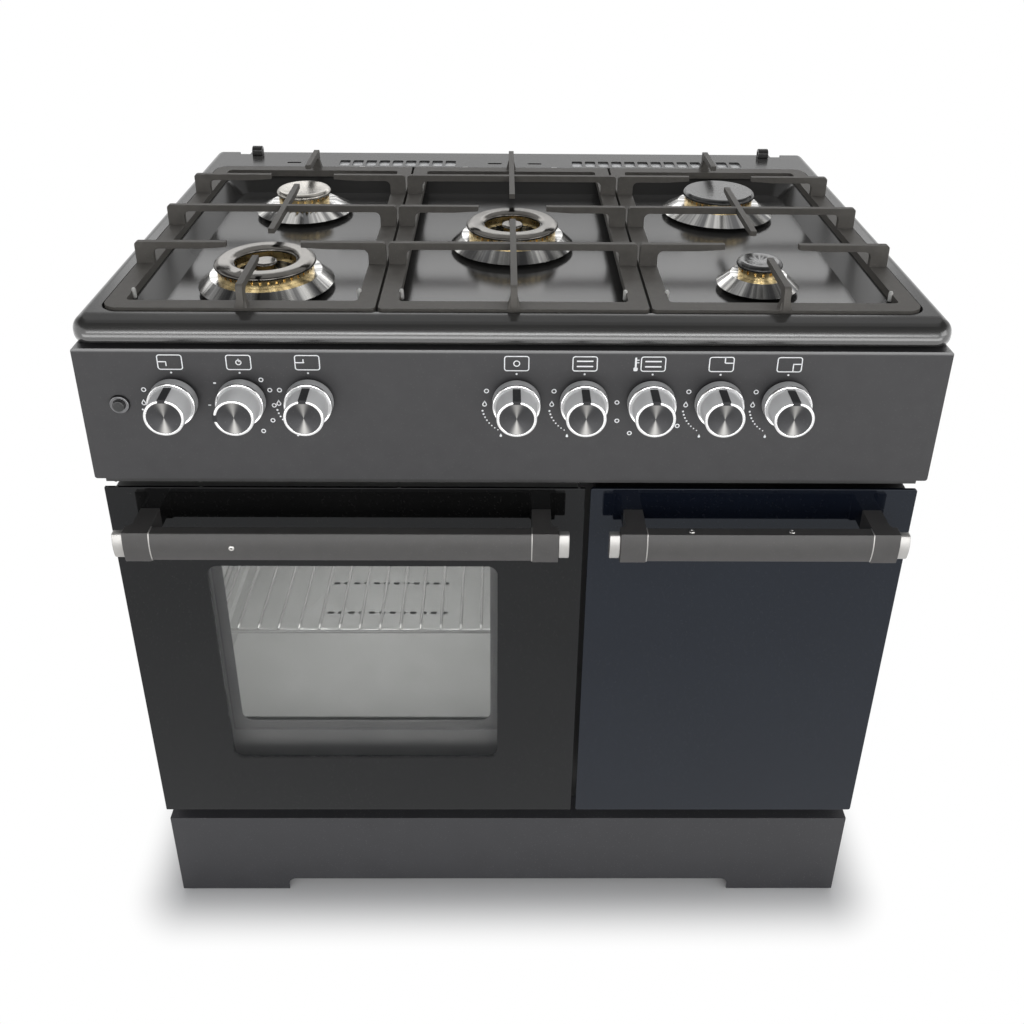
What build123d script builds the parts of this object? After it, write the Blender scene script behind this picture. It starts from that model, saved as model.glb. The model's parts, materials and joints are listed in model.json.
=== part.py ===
# Free-standing gas cooker, 900 mm class: five-burner hob with cast-iron grates, oven on the left,
# gas-bottle compartment on the right. Millimetres, +Z up, +Y to the back, origin on the floor at the middle.
import os
from math import cos, radians, sin

from build123d import *

os.makedirs("parts", exist_ok=True)

# Overall sizes
width = 900.0  # hob and control panel, side to side
hob_depth = 620.0  # nose to rear edge of the hob
hob_height = 865.0  # floor to the rim of the hob
handle_reach = 40.5  # front of the handle bars, ahead of the control panel
sheet = 1.2  # steel sheet of the casing
fit_gap = 0.3  # clearance between pieces that move past each other
run_gap = 0.05  # radial clearance of a running shaft

# Casing
side_inset = 4.0  # side panels and doors inside the edge of the hob
panel_depth = 50.0  # control panel, front face to face frame
panel_height = 156.0
panel_gap = 2.0  # shadow gap between hob and control panel
panel_corner = 3.0
back_inset = 28.0  # back panel ahead of the rear edge of the hob
flange = 14.0  # folded edges of the side panels
fold_radius = 10.0  # upper bend of the side panels
base_height = 100.0  # top of the base tray
base_lip = 30.0
side_floor_gap = 20.0
foot_radius = 22.0
foot_stem = 8.0
foot_inset = 50.0  # foot axis from the casing's corners
plinth_setback = 14.0  # plinth face behind the control panel
plinth_floor_gap = 2.0
plinth_notch_width = 600.0
plinth_notch_height = 20.0
plinth_corner = 10.0

# Hob
hob_skirt = 27.0
hob_corner = 20.0
nose_radius = 12.0
recess_side = 21.5  # rim beside the recess
recess_front = 29.0  # rim ahead of the recess
recess_depth_y = 517.0
recess_drop = 7.0
recess_corner = 20.0
ledge = 25.5  # shelf that carries the grates
slope = 18.0  # run of the sloped side of the well
well_drop = 19.0  # well floor below the ledge
well_corner = 14.0
vent_length = 15.0
vent_width = 6.0
vent_pitch = 19.6
vent_back = 54.0  # vent row ahead of the rear edge
left_vents = 9
right_vents = 13
left_vent_x = -168.0
right_vent_x = 216.0
long_vent_x = (-321.0, -24.0, 35.0)
long_vent_length = 21.0
lid_block_x = 383.0
lid_block = 15.0
lid_block_height = 13.0
lid_block_back = 12.0  # rear edge of the hob to the block
lid_notch_width = 17.0
lid_notch_depth = 11.0
lid_notch_x = 404.0
lid_pin_bore = 3.0

# Burners
column_x = 281.0  # side burners from the middle
centre_row = 287.0  # hob nose to the middle row
row_pitch = 128.5
cup_undercut = 12.0
cup_lip = 6.0  # widest line of a cup above the well
cup_rise = 18.0  # shoulder of a cup above the well
cup_shelf = 9.0  # flat shoulder round the port ring
pot_depth = 12.0  # burner pot below the well
ring_height = 10.0
cap_height = 7.0
cap_overhang = 3.0
ring_burner_cup = 76.5  # radii of the four burner sizes
ring_burner_cap = 57.0
ring_burner_hole = 34.0
ring_wall = 7.0
inner_cap_radius = 14.0
rapid_cup = 74.0
rapid_cap = 48.0
medium_cup = 64.0
medium_cap = 36.5
small_cup = 46.5
small_cap = 26.0
cap_dish = 3.0
port_width = 2.4
port_pitch = 9.0
spark_radius = 3.0
spark_collar = 4.5
spark_step = 1.0  # collar below the shoulder of the cup

# Grates
grate_top = 28.0  # pan level above the rim
grate_margin = 3.0  # gap between grates and the recess
grate_rear_margin = 8.0
grate_seam = 3.0  # gap between neighbouring grates
grate_frame_top = 2.5  # frame above the rim
centre_grate_width = 281.0
frame_strip = 20.0
bar_width = 7.0
bar_height = 8.0
tip_height = 6.0
leg_gusset = 7.0
leg_corner = 4.0
finger_gap = 42.0  # finger tips from the burner axis
wide_gap = 47.0  # the same along the cooker, over the two widest burners
tip_run = 30.0  # thinned end of a finger
post_depth = 12.0  # post under a finger on the front or rear strip
frame_corner = 17.0
frame_inner_corner = 5.0

# Controls
knob_pitch = 70.0
left_knob_side = 99.0  # first knob in from the left end of the panel
right_knob_side = 447.0  # fourth knob in from the right end
knob_height = 99.0  # knob axis above the bottom of the panel
push_travel = 3.5
knob_reach = 42.0  # knob face ahead of the panel
collar_radius = 25.0
collar_length = 13.0
collar_edge = 1.2
grip_radius = 21.5
grip_taper = 1.0
grip_edge = 1.5
face_dish = 1.5
pointer_width = 5.0
pointer_depth = 1.0
spindle_radius = 4.0
spindle_flat = 2.6  # flat of the spindle from its axis
spindle_grip = 20.0  # spindle inside the knob
spindle_seat = 20.0  # spindle inside the tap
panel_hole_gap = 2.0
tap_radius = 11.0
tap_front = 14.0  # tap behind the panel's face
outlet_radius = 6.0
outlet_height = 15.0  # pipe seat above the tap's axis
rail_radius = 8.0
rail_back = 58.0  # gas rail behind the panel's face
inlet_side = 50.0  # gas inlet in from the end of the hob
inlet_radius = 10.48  # half-inch pipe thread
inlet_length = 20.0
inlet_cover = 3.0  # rear edge of the hob past the end of the inlet
pipe_radius = 4.0
pipe_bend = 14.0
switch_width = 44.0
switch_depth = 38.0
button_side = 41.0  # button in from the end of the panel
button_height = 92.0
button_radius = 6.4
button_travel = 3.0
button_length = 22.0
bezel_radius = 11.0
bezel_barrel = 8.6
bezel_lip = 3.0
bezel_length = 18.0

# Doors
door_height = 500.0
door_gap_top = 17.0  # control panel to doors
door_gap_bottom = 23.0  # doors to plinth
oven_door_width = 526.0
door_gap = 6.0  # between the doors
door_setback = 8.0  # glass behind the control panel
door_thickness = 36.0
glass = 4.0
glass_corner = 3.0
pan_inset = 7.0  # door pan inside the edge of the glass
pan_rise = 12.0  # door pan above the lower edge of the glass
pan_drop = 8.0
window_side = 105.0  # window opening inside the door's edges
window_bottom = 121.0
window_top = 103.0
window_corner = 14.0
inner_glass_lap = 12.0
hinge_inset = 48.0  # hinge from the edge of the door
hinge_arm = 5.0
hinge_arm_height = 130.0
hinge_barrel = 8.0
hinge_pin = 4.0
hinge_ear = 3.0
hinge_back = 26.0  # hinge axis behind the glass face

# Handles
handle_height = 35.0
handle_depth = 15.0
handle_bulge = 3.0  # crown of the bar's front
handle_wall = 2.5
handle_drop = 28.0  # handle top below the door's top
handle_inset = 17.0  # end of the handle from the outer edge of a door
handle_inner_inset = 18.5  # the same, from the edge beside the other door
cap_length = 12.0
cap_step = 2.0
bracket_width = 28.0
bracket_lip = 1.0
arm_width = 21.0
arm_height = 24.0
arm_corner = 7.0

# Oven and compartment
cavity_width = 430.0
cavity_height = 380.0
cavity_depth = 470.0
cavity_sill = 59.0  # oven floor above the lower edge of the door
cavity_corner = 12.0
liner_flange = 12.0
seal_width = 8.0
seal_step = 2.0  # seal out from the cavity's edge
seal_corner = 16.0
runner = 6.0  # pressed shelf runners
runner_pitch = 59.0
first_runner = 26.0
runner_count = 5
runner_front = 30.0
rack_level = 2  # runner that carries the rack, counted from 0
rack_wire = 3.5
rack_rod = 2.0
rack_rods = 16
rack_depth = 400.0
plate_depth = 430.0
plate_hole_length = 10.0
plate_hole_width = 6.0
plate_holes = 12  # in each row
plate_hole_pitch = 15.5
plate_row_pitch = 69.0
plate_rows_back = 27.0  # rows behind the middle of the plate
oven_tube = 9.0
oven_tube_length = 400.0
grill_tube = 8.0
grill_drop = 22.0
grill_length = 330.0
tube_tail = 30.0
tube_clear = 4.0  # under the oven burner
lamp_radius = 24.0
lamp_length = 16.0
lamp_side = 65.0  # lamp in from the oven's right wall
lamp_drop = 60.0
frame_rail = 13.0  # rail seen between panel and doors
rail_setback = 14.0
frame_margin = 14.0
controls_margin = 12.0

# Places that follow from the sizes
front_y = (max(handle_reach, knob_reach) - hob_depth) / 2
back_y = front_y + hob_depth
hob_bottom = hob_height - hob_skirt
body_half = width / 2 - side_inset
inner_half = body_half - sheet
frame_y = front_y + panel_depth
back_panel_y = back_y - back_inset
inside_back = back_panel_y - sheet
panel_top = hob_bottom - panel_gap
panel_bottom = panel_top - panel_height
door_top = panel_bottom - door_gap_top
door_bottom = door_top - door_height
plinth_top = door_bottom - door_gap_bottom
recess_half = width / 2 - recess_side
recess_y = front_y + recess_front + recess_depth_y / 2
ledge_z = hob_height - recess_drop
well_z = ledge_z - well_drop
grate_seat = ledge_z + fit_gap
grate_z = hob_height + grate_top
frame_top_z = hob_height + grate_frame_top
row_y = [front_y + centre_row + step * row_pitch for step in (-1, 0, 1)]
knob_z = panel_bottom + knob_height
button_z = panel_bottom + button_height
rail_y = front_y + rail_back
rail_end_x = width / 2 - inlet_side
button_x = button_side - width / 2
left_knob_x = left_knob_side - width / 2
right_knob_x = width / 2 - right_knob_side
tap_back_y = rail_y - rail_radius - 0.1
outlet_z = knob_z + outlet_height
door_y = front_y + door_setback
door_back_y = door_y + door_thickness
pan_y = door_y + glass
hinge_y = door_y + hinge_back
hinge_z = door_bottom + pan_rise
oven_left = -body_half
oven_right = oven_left + oven_door_width
bottle_left = oven_right + door_gap
divider_x = oven_right + door_gap / 2
oven_x = (oven_left + oven_right) / 2
cavity_floor = door_bottom + cavity_sill
cavity_top = cavity_floor + cavity_height
cavity_back = frame_y + cavity_depth
rack_z = cavity_floor + first_runner + rack_level * runner_pitch + rack_wire + fit_gap
knob_gap = push_travel + fit_gap
button_front = front_y - bezel_lip - button_travel - fit_gap


def save(piece, name):
    piece.part.label = name
    export_step(piece.part, f"parts/{name}.step")


def facing(y):
    # Upright plane across the cooker at depth y, seen from the front
    return Plane.XZ.offset(-y)


def axial(x, y):
    # Upright plane through a vertical axis, for turned pieces
    return Plane(origin=(x, y, 0), x_dir=(1, 0, 0), z_dir=(0, -1, 0))


def block(low, high, mode=Mode.ADD):
    # Box between two opposite corners
    size = [top - bottom for bottom, top in zip(low, high)]
    middle = tuple((top + bottom) / 2 for bottom, top in zip(low, high))
    with Locations(middle):
        Box(*size, mode=mode)


def burner_ring_radius(cap):
    return cap - cap_overhang


class Burner:
    def __init__(self, x, y, cup, cap, hole=0.0):
        self.x = x
        self.y = y
        self.cup = cup
        self.cap = cap
        self.hole = hole
        self.ring = burner_ring_radius(cap)
        self.spark_y = y + self.ring + cap_overhang + spark_radius


burners = {
    "front_left": Burner(-column_x, row_y[0], ring_burner_cup, ring_burner_cap, ring_burner_hole),
    "rear_left": Burner(-column_x, row_y[2], medium_cup, medium_cap),
    "centre": Burner(0, row_y[1], ring_burner_cup, ring_burner_cap, ring_burner_hole),
    "rear_right": Burner(column_x, row_y[2], rapid_cup, rapid_cap),
    "front_right": Burner(column_x, row_y[0], small_cup, small_cap),
}
knob_names = ["front_left", "timer", "rear_left", "centre", "oven", "selector", "rear_right", "front_right"]
knob_x = {name: left_knob_x + place * knob_pitch for place, name in enumerate(knob_names[:3])}
knob_x.update({name: right_knob_x + place * knob_pitch for place, name in enumerate(knob_names[3:])})
switch_names = ["timer", "selector"]
tap_names = [name for name in knob_names if name not in switch_names]

# Base tray: a folded pan with its lips turned down
with BuildPart() as base_tray:
    tray_low = (-inner_half, frame_y + sheet, base_height - base_lip)
    tray_high = (inner_half, inside_back, base_height)
    block(tray_low, tray_high)
    offset(amount=-sheet, openings=base_tray.faces().sort_by(Axis.Z)[0])
save(base_tray, "base_tray")

# Side panels: one channel each, with its edges folded inwards
side_top = hob_height - sheet
for name, side in (("left_side_panel", -1), ("right_side_panel", 1)):
    with BuildPart() as side_panel:
        with BuildSketch(facing(frame_y)) as channel:
            with BuildLine():
                Polyline(
                    (side * (body_half - flange), side_top),
                    (side * body_half, side_top),
                    (side * body_half, side_floor_gap),
                    (side * (body_half - flange), side_floor_gap),
                    (side * (body_half - flange), side_floor_gap + sheet),
                    (side * inner_half, side_floor_gap + sheet),
                    (side * inner_half, side_top - sheet),
                    (side * (body_half - flange), side_top - sheet),
                    close=True,
                )
            make_face()
            outer_bend = channel.vertices().sort_by_distance((side * body_half, side_top))[0]
            fillet(outer_bend, fold_radius)
            inner_bend = channel.vertices().sort_by_distance((side * inner_half, side_top - sheet))[0]
            fillet(inner_bend, fold_radius - sheet)
        extrude(amount=-(back_panel_y - frame_y))
    save(side_panel, name)

# Back panel with louvre slots and the hole for the gas inlet
louvre_length = 60.0
louvre_width = 6.0
louvre_pitch = 16.0
louvre_rows = 9
louvre_columns = 4
louvre_column_pitch = 150.0
louvre_z = 420.0
back_top = side_top - sheet
with BuildPart() as back_panel:
    with BuildSketch(facing(inside_back)) as back_outline:
        with Locations((0, (back_top + base_height - base_lip) / 2)):
            Rectangle(2 * inner_half, back_top - base_height + base_lip)
        fillet(back_outline.vertices().group_by(Axis.Y)[-1], fold_radius)
        with Locations((rail_end_x, knob_z)):
            Circle(rail_radius + fit_gap, mode=Mode.SUBTRACT)
        with Locations((0, louvre_z)):
            with GridLocations(louvre_column_pitch, louvre_pitch, louvre_columns, louvre_rows):
                SlotOverall(louvre_length, louvre_width, mode=Mode.SUBTRACT)
    extrude(amount=-sheet)
save(back_panel, "back_panel")

# Plinth: a folded front with a notch between its two feet
with BuildPart() as plinth:
    plinth_y = front_y + plinth_setback
    block((-body_half, plinth_y, plinth_floor_gap), (body_half, frame_y, plinth_top))
    back_face = plinth.faces().sort_by(Axis.Y)[-1]
    bottom_face = plinth.faces().sort_by(Axis.Z)[0]
    offset(amount=-sheet, openings=[back_face, bottom_face])
    with BuildSketch(facing(plinth_y)) as notch:
        with Locations((0, plinth_floor_gap)):
            Rectangle(plinth_notch_width, 2 * plinth_notch_height)
        fillet(notch.vertices().group_by(Axis.Y)[-1], plinth_corner)
    extrude(amount=-2 * sheet, mode=Mode.SUBTRACT)
save(plinth, "plinth")

# Levelling feet: turned plastic feet under the corners of the base tray
foot_top = base_height - sheet
foot_x = body_half - foot_inset
foot_y = [frame_y + foot_inset, back_panel_y - foot_inset]
with BuildPart() as levelling_feet:
    for x in (-foot_x, foot_x):
        for y in foot_y:
            with BuildSketch(axial(x, y)):
                with BuildLine():
                    Polyline(
                        (0, 0),
                        (foot_radius, 0),
                        (foot_radius, foot_stem),
                        (foot_stem, 2 * foot_stem),
                        (foot_stem, foot_top - 2 * foot_stem),
                        (foot_radius, foot_top - foot_stem / 2),
                        (foot_radius, foot_top),
                        (0, foot_top),
                        close=True,
                    )
                make_face()
            revolve(axis=Axis((x, y, 0), (0, 0, 1)))
save(levelling_feet, "levelling_feet")

# Hob top: pressed tray with a rounded nose, recess, sloped well, vents and burner holes
pot_wall = 4.0
with BuildPart() as hob_top:
    with BuildSketch(Plane.XY.offset(hob_bottom)) as hob_outline:
        with Locations((0, (front_y + back_y) / 2)):
            Rectangle(width, hob_depth)
        fillet(hob_outline.vertices().group_by(Axis.Y)[0], hob_corner)
    extrude(amount=hob_skirt)
    top_edges = hob_top.faces().sort_by(Axis.Z)[-1].edges().sort_by(Axis.Y)[:-1]
    fillet(top_edges, nose_radius)
    offset(amount=-sheet, openings=hob_top.faces().sort_by(Axis.Z)[0])
    for grow, drop, mode in ((sheet, sheet, Mode.ADD), (0, 0, Mode.SUBTRACT)):
        with BuildSketch(Plane.XY.offset(ledge_z - drop)):
            with Locations((0, recess_y)):
                RectangleRounded(
                    2 * (recess_half + grow), recess_depth_y + 2 * grow, recess_corner + grow
                )
        extrude(amount=recess_drop + drop, mode=mode)
        with BuildSketch(Plane.XY.offset(ledge_z - drop)):
            with Locations((0, recess_y)):
                RectangleRounded(
                    2 * (recess_half - ledge + grow),
                    recess_depth_y - 2 * (ledge - grow),
                    well_corner + slope + grow,
                )
        with BuildSketch(Plane.XY.offset(well_z - drop)):
            with Locations((0, recess_y)):
                RectangleRounded(
                    2 * (recess_half - ledge - slope + grow),
                    recess_depth_y - 2 * (ledge + slope - grow),
                    well_corner + grow,
                )
        loft(ruled=True, mode=mode)
    with BuildSketch(Plane.XY.offset(well_z)):
        for burner in burners.values():
            with Locations((burner.x, burner.y)):
                Circle(burner.ring + pot_wall + fit_gap)
            with Locations((burner.x, burner.spark_y)):
                Circle(spark_collar + fit_gap)
    extrude(amount=-2 * sheet, mode=Mode.SUBTRACT)
    with BuildSketch(Plane.XY.offset(hob_height)):
        with Locations((left_vent_x, back_y - vent_back)):
            with GridLocations(vent_pitch, 1, left_vents, 1):
                SlotOverall(vent_length, vent_width)
        with Locations((right_vent_x, back_y - vent_back)):
            with GridLocations(vent_pitch, 1, right_vents, 1):
                SlotOverall(vent_length, vent_width)
        for x in long_vent_x:
            with Locations((x, back_y - vent_back)):
                SlotOverall(long_vent_length, vent_width)
    extrude(amount=-2 * sheet, mode=Mode.SUBTRACT)
    with BuildSketch(Plane.XY.offset(hob_height)):
        for side in (-1, 1):
            with Locations((side * lid_notch_x, back_y)):
                Rectangle(lid_notch_width, 2 * lid_notch_depth)
    extrude(amount=-hob_skirt, mode=Mode.SUBTRACT)
save(hob_top, "hob_top")

# Lid-hinge blocks on the rear edge, bored for the pins of a lid
lid_y = back_y - lid_block_back
with BuildPart() as lid_hinge_blocks:
    for side in (-1, 1):
        with BuildSketch(Plane.YZ.offset(side * lid_block_x - lid_block / 2)):
            with BuildLine():
                Polyline(
                    (lid_y - lid_block / 2, hob_height + lid_block_height - lid_block / 2),
                    (lid_y - lid_block / 2, hob_height),
                    (lid_y + lid_block / 2, hob_height),
                    (lid_y + lid_block / 2, hob_height + lid_block_height - lid_block / 2),
                )
                ThreePointArc(
                    (lid_y - lid_block / 2, hob_height + lid_block_height - lid_block / 2),
                    (lid_y, hob_height + lid_block_height),
                    (lid_y + lid_block / 2, hob_height + lid_block_height - lid_block / 2),
                )
            make_face()
            with Locations((lid_y, hob_height + lid_block_height - lid_block / 2)):
                Circle(lid_pin_bore, mode=Mode.SUBTRACT)
        extrude(amount=lid_block)
save(lid_hinge_blocks, "lid_hinge_blocks")

# Control panel: folded box open at the back, drilled for spindles and the button
with BuildPart() as control_panel:
    with BuildSketch(facing(front_y)):
        with Locations((0, (panel_top + panel_bottom) / 2)):
            RectangleRounded(width, panel_height, panel_corner)
    extrude(amount=-panel_depth)
    offset(amount=-sheet, openings=control_panel.faces().sort_by(Axis.Y)[-1])
    with BuildSketch(facing(front_y)):
        for x in knob_x.values():
            with Locations((x, knob_z)):
                Circle(spindle_radius + panel_hole_gap)
        with Locations((button_x, button_z)):
            Circle(bezel_barrel + fit_gap)
    extrude(amount=-2 * sheet, mode=Mode.SUBTRACT)
save(control_panel, "control_panel")

# Face frame: front plate of the carcass with its three openings, top rail and hinge ears
hinge_x = {
    "oven": (oven_left + hinge_inset, oven_right - hinge_inset),
    "bottle": (bottle_left + hinge_inset, body_half - hinge_inset),
}
ear_offset = hinge_arm / 2 + fit_gap
opening_left = divider_x + frame_margin
opening_right = inner_half - frame_margin
opening_bottom = hinge_z + hinge_barrel + frame_margin
opening_top = door_top - frame_margin
rail_front = front_y + rail_setback
with BuildPart() as face_frame:
    with BuildSketch(facing(frame_y)):
        with Locations((0, (panel_top + base_height - base_lip) / 2)):
            Rectangle(2 * inner_half, panel_top - base_height + base_lip)
        with Locations((oven_x, (cavity_floor + cavity_top) / 2)):
            RectangleRounded(
                cavity_width + 2 * (sheet + fit_gap),
                cavity_height + 2 * (sheet + fit_gap),
                cavity_corner + sheet + fit_gap,
                mode=Mode.SUBTRACT,
            )
        with Locations(((opening_left + opening_right) / 2, (opening_bottom + opening_top) / 2)):
            Rectangle(opening_right - opening_left, opening_top - opening_bottom, mode=Mode.SUBTRACT)
        with Locations((0, (panel_top + panel_bottom) / 2)):
            Rectangle(
                2 * (inner_half - frame_margin), panel_height - 2 * controls_margin, mode=Mode.SUBTRACT
            )
    extrude(amount=-sheet)
    block((-inner_half, rail_front, panel_bottom - frame_rail), (inner_half, rail_front + sheet, panel_bottom))
    block(
        (-inner_half, rail_front, panel_bottom - frame_rail),
        (inner_half, frame_y, panel_bottom - frame_rail + sheet),
    )
    for pair in hinge_x.values():
        for x in pair:
            for side in (-1, 1):
                inner = x + side * ear_offset
                with BuildSketch(Plane.YZ.offset(min(inner, inner + side * hinge_ear))):
                    with Locations((hinge_y, hinge_z)):
                        Circle(hinge_barrel)
                    with Locations(((hinge_y + frame_y) / 2, hinge_z)):
                        Rectangle(frame_y - hinge_y, 2 * hinge_barrel)
                    with Locations((hinge_y, hinge_z)):
                        Circle(hinge_pin + run_gap, mode=Mode.SUBTRACT)
                extrude(amount=hinge_ear)
save(face_frame, "face_frame")

# Divider wall between oven and bottle compartment
with BuildPart() as divider_wall:
    block(
        (divider_x - sheet / 2, frame_y + sheet, base_height),
        (divider_x + sheet / 2, inside_back, panel_bottom - frame_rail),
    )
save(divider_wall, "divider_wall")

# Oven liner: enamelled box with a front flange and pressed shelf runners
runner_z = [cavity_floor + first_runner + step * runner_pitch for step in range(runner_count)]
lamp_z = cavity_top - lamp_drop
oven_tube_z = cavity_floor + oven_tube + tube_clear
grill_z = cavity_top - grill_drop
with BuildPart() as oven_liner:
    with BuildSketch(facing(frame_y)):
        with Locations((oven_x, (cavity_floor + cavity_top) / 2)):
            RectangleRounded(cavity_width + 2 * sheet, cavity_height + 2 * sheet, cavity_corner + sheet)
    extrude(amount=-(cavity_depth + sheet))
    with BuildSketch(facing(frame_y - sheet)):
        with Locations((oven_x, (cavity_floor + cavity_top) / 2)):
            RectangleRounded(
                cavity_width + 2 * liner_flange, cavity_height + 2 * liner_flange, cavity_corner + liner_flange
            )
    extrude(amount=-sheet)
    with BuildSketch(facing(frame_y - sheet)):
        with Locations((oven_x, (cavity_floor + cavity_top) / 2)):
            RectangleRounded(cavity_width, cavity_height, cavity_corner)
    extrude(amount=-(cavity_depth + sheet), mode=Mode.SUBTRACT)
    for side in (-1, 1):
        for z in runner_z:
            with BuildSketch(facing(frame_y + runner_front)):
                with BuildLine():
                    Polyline(
                        (oven_x + side * (cavity_width / 2 + sheet / 2), z),
                        (oven_x + side * (cavity_width / 2 - runner), z),
                        (oven_x + side * (cavity_width / 2 + sheet / 2), z - 2 * runner),
                        close=True,
                    )
                make_face()
            extrude(amount=-(cavity_depth - runner_front))
    with BuildSketch(facing(cavity_back)):
        with Locations((oven_x, oven_tube_z)):
            Circle(oven_tube + fit_gap)
        with Locations((oven_x, grill_z)):
            Circle(grill_tube + fit_gap)
    extrude(amount=-2 * sheet, mode=Mode.SUBTRACT)
save(oven_liner, "oven_liner")

# Door seal on the liner's flange
seal_depth = frame_y - sheet - door_back_y - fit_gap
with BuildPart() as oven_door_seal:
    with BuildSketch(facing(frame_y - sheet)):
        with Locations((oven_x, (cavity_floor + cavity_top) / 2)):
            RectangleRounded(
                cavity_width + 2 * (seal_width + seal_step),
                cavity_height + 2 * (seal_width + seal_step),
                seal_corner + seal_width,
            )
            RectangleRounded(
                cavity_width + 2 * seal_step, cavity_height + 2 * seal_step, seal_corner, mode=Mode.SUBTRACT
            )
    extrude(amount=seal_depth)
save(oven_door_seal, "oven_door_seal")

# Wire rack on the third pair of runners
rack_half = cavity_width / 2 - rack_wire - fit_gap
rack_front_y = cavity_back - rack_depth - runner
rack_back_y = rack_front_y + rack_depth
with BuildPart() as oven_rack:
    with BuildSketch(Plane.YZ.offset(oven_x - rack_half)):
        with Locations((rack_front_y, rack_z), (rack_back_y, rack_z)):
            Circle(rack_wire)
    extrude(amount=2 * rack_half)
    with BuildSketch(facing(rack_front_y - rack_wire)):
        with Locations((oven_x - rack_half, rack_z), (oven_x + rack_half, rack_z)):
            Circle(rack_wire)
    extrude(amount=-(rack_depth + 2 * rack_wire))
    with BuildSketch(facing(rack_front_y - rack_wire / 2)):
        with Locations((oven_x, rack_z + rack_wire)):
            with GridLocations(2 * rack_half / rack_rods, 1, rack_rods, 1):
                Circle(rack_rod)
    extrude(amount=-(rack_depth + rack_wire))
save(oven_rack, "oven_rack")

# Floor plate over the oven burner, slotted for the flames, on the lowest runners
plate_z = runner_z[0]
with BuildPart() as oven_floor_plate:
    with BuildSketch(Plane.XY.offset(plate_z)):
        with Locations((oven_x, cavity_back - plate_depth / 2 - runner)):
            Rectangle(cavity_width - 4 * fit_gap, plate_depth)
        with Locations((oven_x, cavity_back - plate_depth / 2 - runner + plate_rows_back)):
            with GridLocations(plate_hole_pitch, plate_row_pitch, plate_holes, 2):
                SlotOverall(plate_hole_length, plate_hole_width, mode=Mode.SUBTRACT)
    extrude(amount=sheet)
save(oven_floor_plate, "oven_floor_plate")

# Oven and grill burners: tubes through the rear wall of the liner
feed_y = cavity_back + sheet + tube_tail
for name, radius, z, length in (
    ("oven_burner", oven_tube, oven_tube_z, oven_tube_length),
    ("grill_burner", grill_tube, grill_z, grill_length),
):
    with BuildPart() as tube_burner:
        with BuildSketch(facing(cavity_back - length)):
            with Locations((oven_x, z)):
                Circle(radius)
        extrude(amount=-(length + sheet + tube_tail))
    save(tube_burner, name)

# Oven lamp on the rear wall
with BuildPart() as oven_lamp:
    with BuildSketch(facing(cavity_back)):
        with Locations((oven_x + cavity_width / 2 - lamp_side, lamp_z)):
            Circle(lamp_radius)
    extrude(amount=lamp_length, taper=15)
save(oven_lamp, "oven_lamp")

# Burner cups: polished cones that hang in the hob's holes
shoulder_z = well_z + cup_rise
with BuildPart() as burner_cups:
    for burner in burners.values():
        pot = burner.ring + pot_wall
        with BuildSketch(axial(burner.x, burner.y)):
            with BuildLine():
                Polyline(
                    (0, well_z - pot_depth),
                    (pot, well_z - pot_depth),
                    (pot, well_z),
                    (burner.cup - cup_undercut, well_z),
                    (burner.cup, well_z + cup_lip),
                    (burner.ring + cup_shelf, shoulder_z),
                    (0, shoulder_z),
                    close=True,
                )
            make_face()
        revolve(axis=Axis((burner.x, burner.y, 0), (0, 0, 1)))
    with BuildSketch(Plane.XY.offset(shoulder_z)):
        for burner in burners.values():
            with Locations((burner.x, burner.y)):
                if burner.hole:
                    Circle(burner.hole)
                    Circle(inner_cap_radius, mode=Mode.SUBTRACT)
                else:
                    Circle(burner.ring - ring_wall)
    extrude(amount=-(cup_rise + pot_depth - pot_wall), mode=Mode.SUBTRACT)
    with BuildSketch(Plane.XY.offset(shoulder_z)):
        for burner in burners.values():
            with Locations((burner.x, burner.spark_y)):
                Circle(spark_collar + fit_gap)
    extrude(amount=-(cup_rise + pot_depth), mode=Mode.SUBTRACT)
save(burner_cups, "burner_cups")

# Brass port rings, slotted all round their upper edge
with BuildPart() as burner_rings:
    for burner in burners.values():
        with BuildSketch(Plane.XY.offset(shoulder_z)):
            with Locations((burner.x, burner.y)):
                Circle(burner.ring)
                if burner.hole:
                    Circle(burner.hole + cap_overhang, mode=Mode.SUBTRACT)
                    Circle(inner_cap_radius - cap_overhang)
                else:
                    Circle(burner.ring - ring_wall, mode=Mode.SUBTRACT)
        extrude(amount=ring_height)
        ports = round(2 * 3.1416 * burner.ring / port_pitch)
        with BuildSketch(Plane.XY.offset(shoulder_z + ring_height)):
            with Locations((burner.x, burner.y)):
                with PolarLocations(burner.ring, ports):
                    Rectangle(ring_wall, port_width)
        extrude(amount=-ring_height / 2, mode=Mode.SUBTRACT)
save(burner_rings, "burner_rings")

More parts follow.
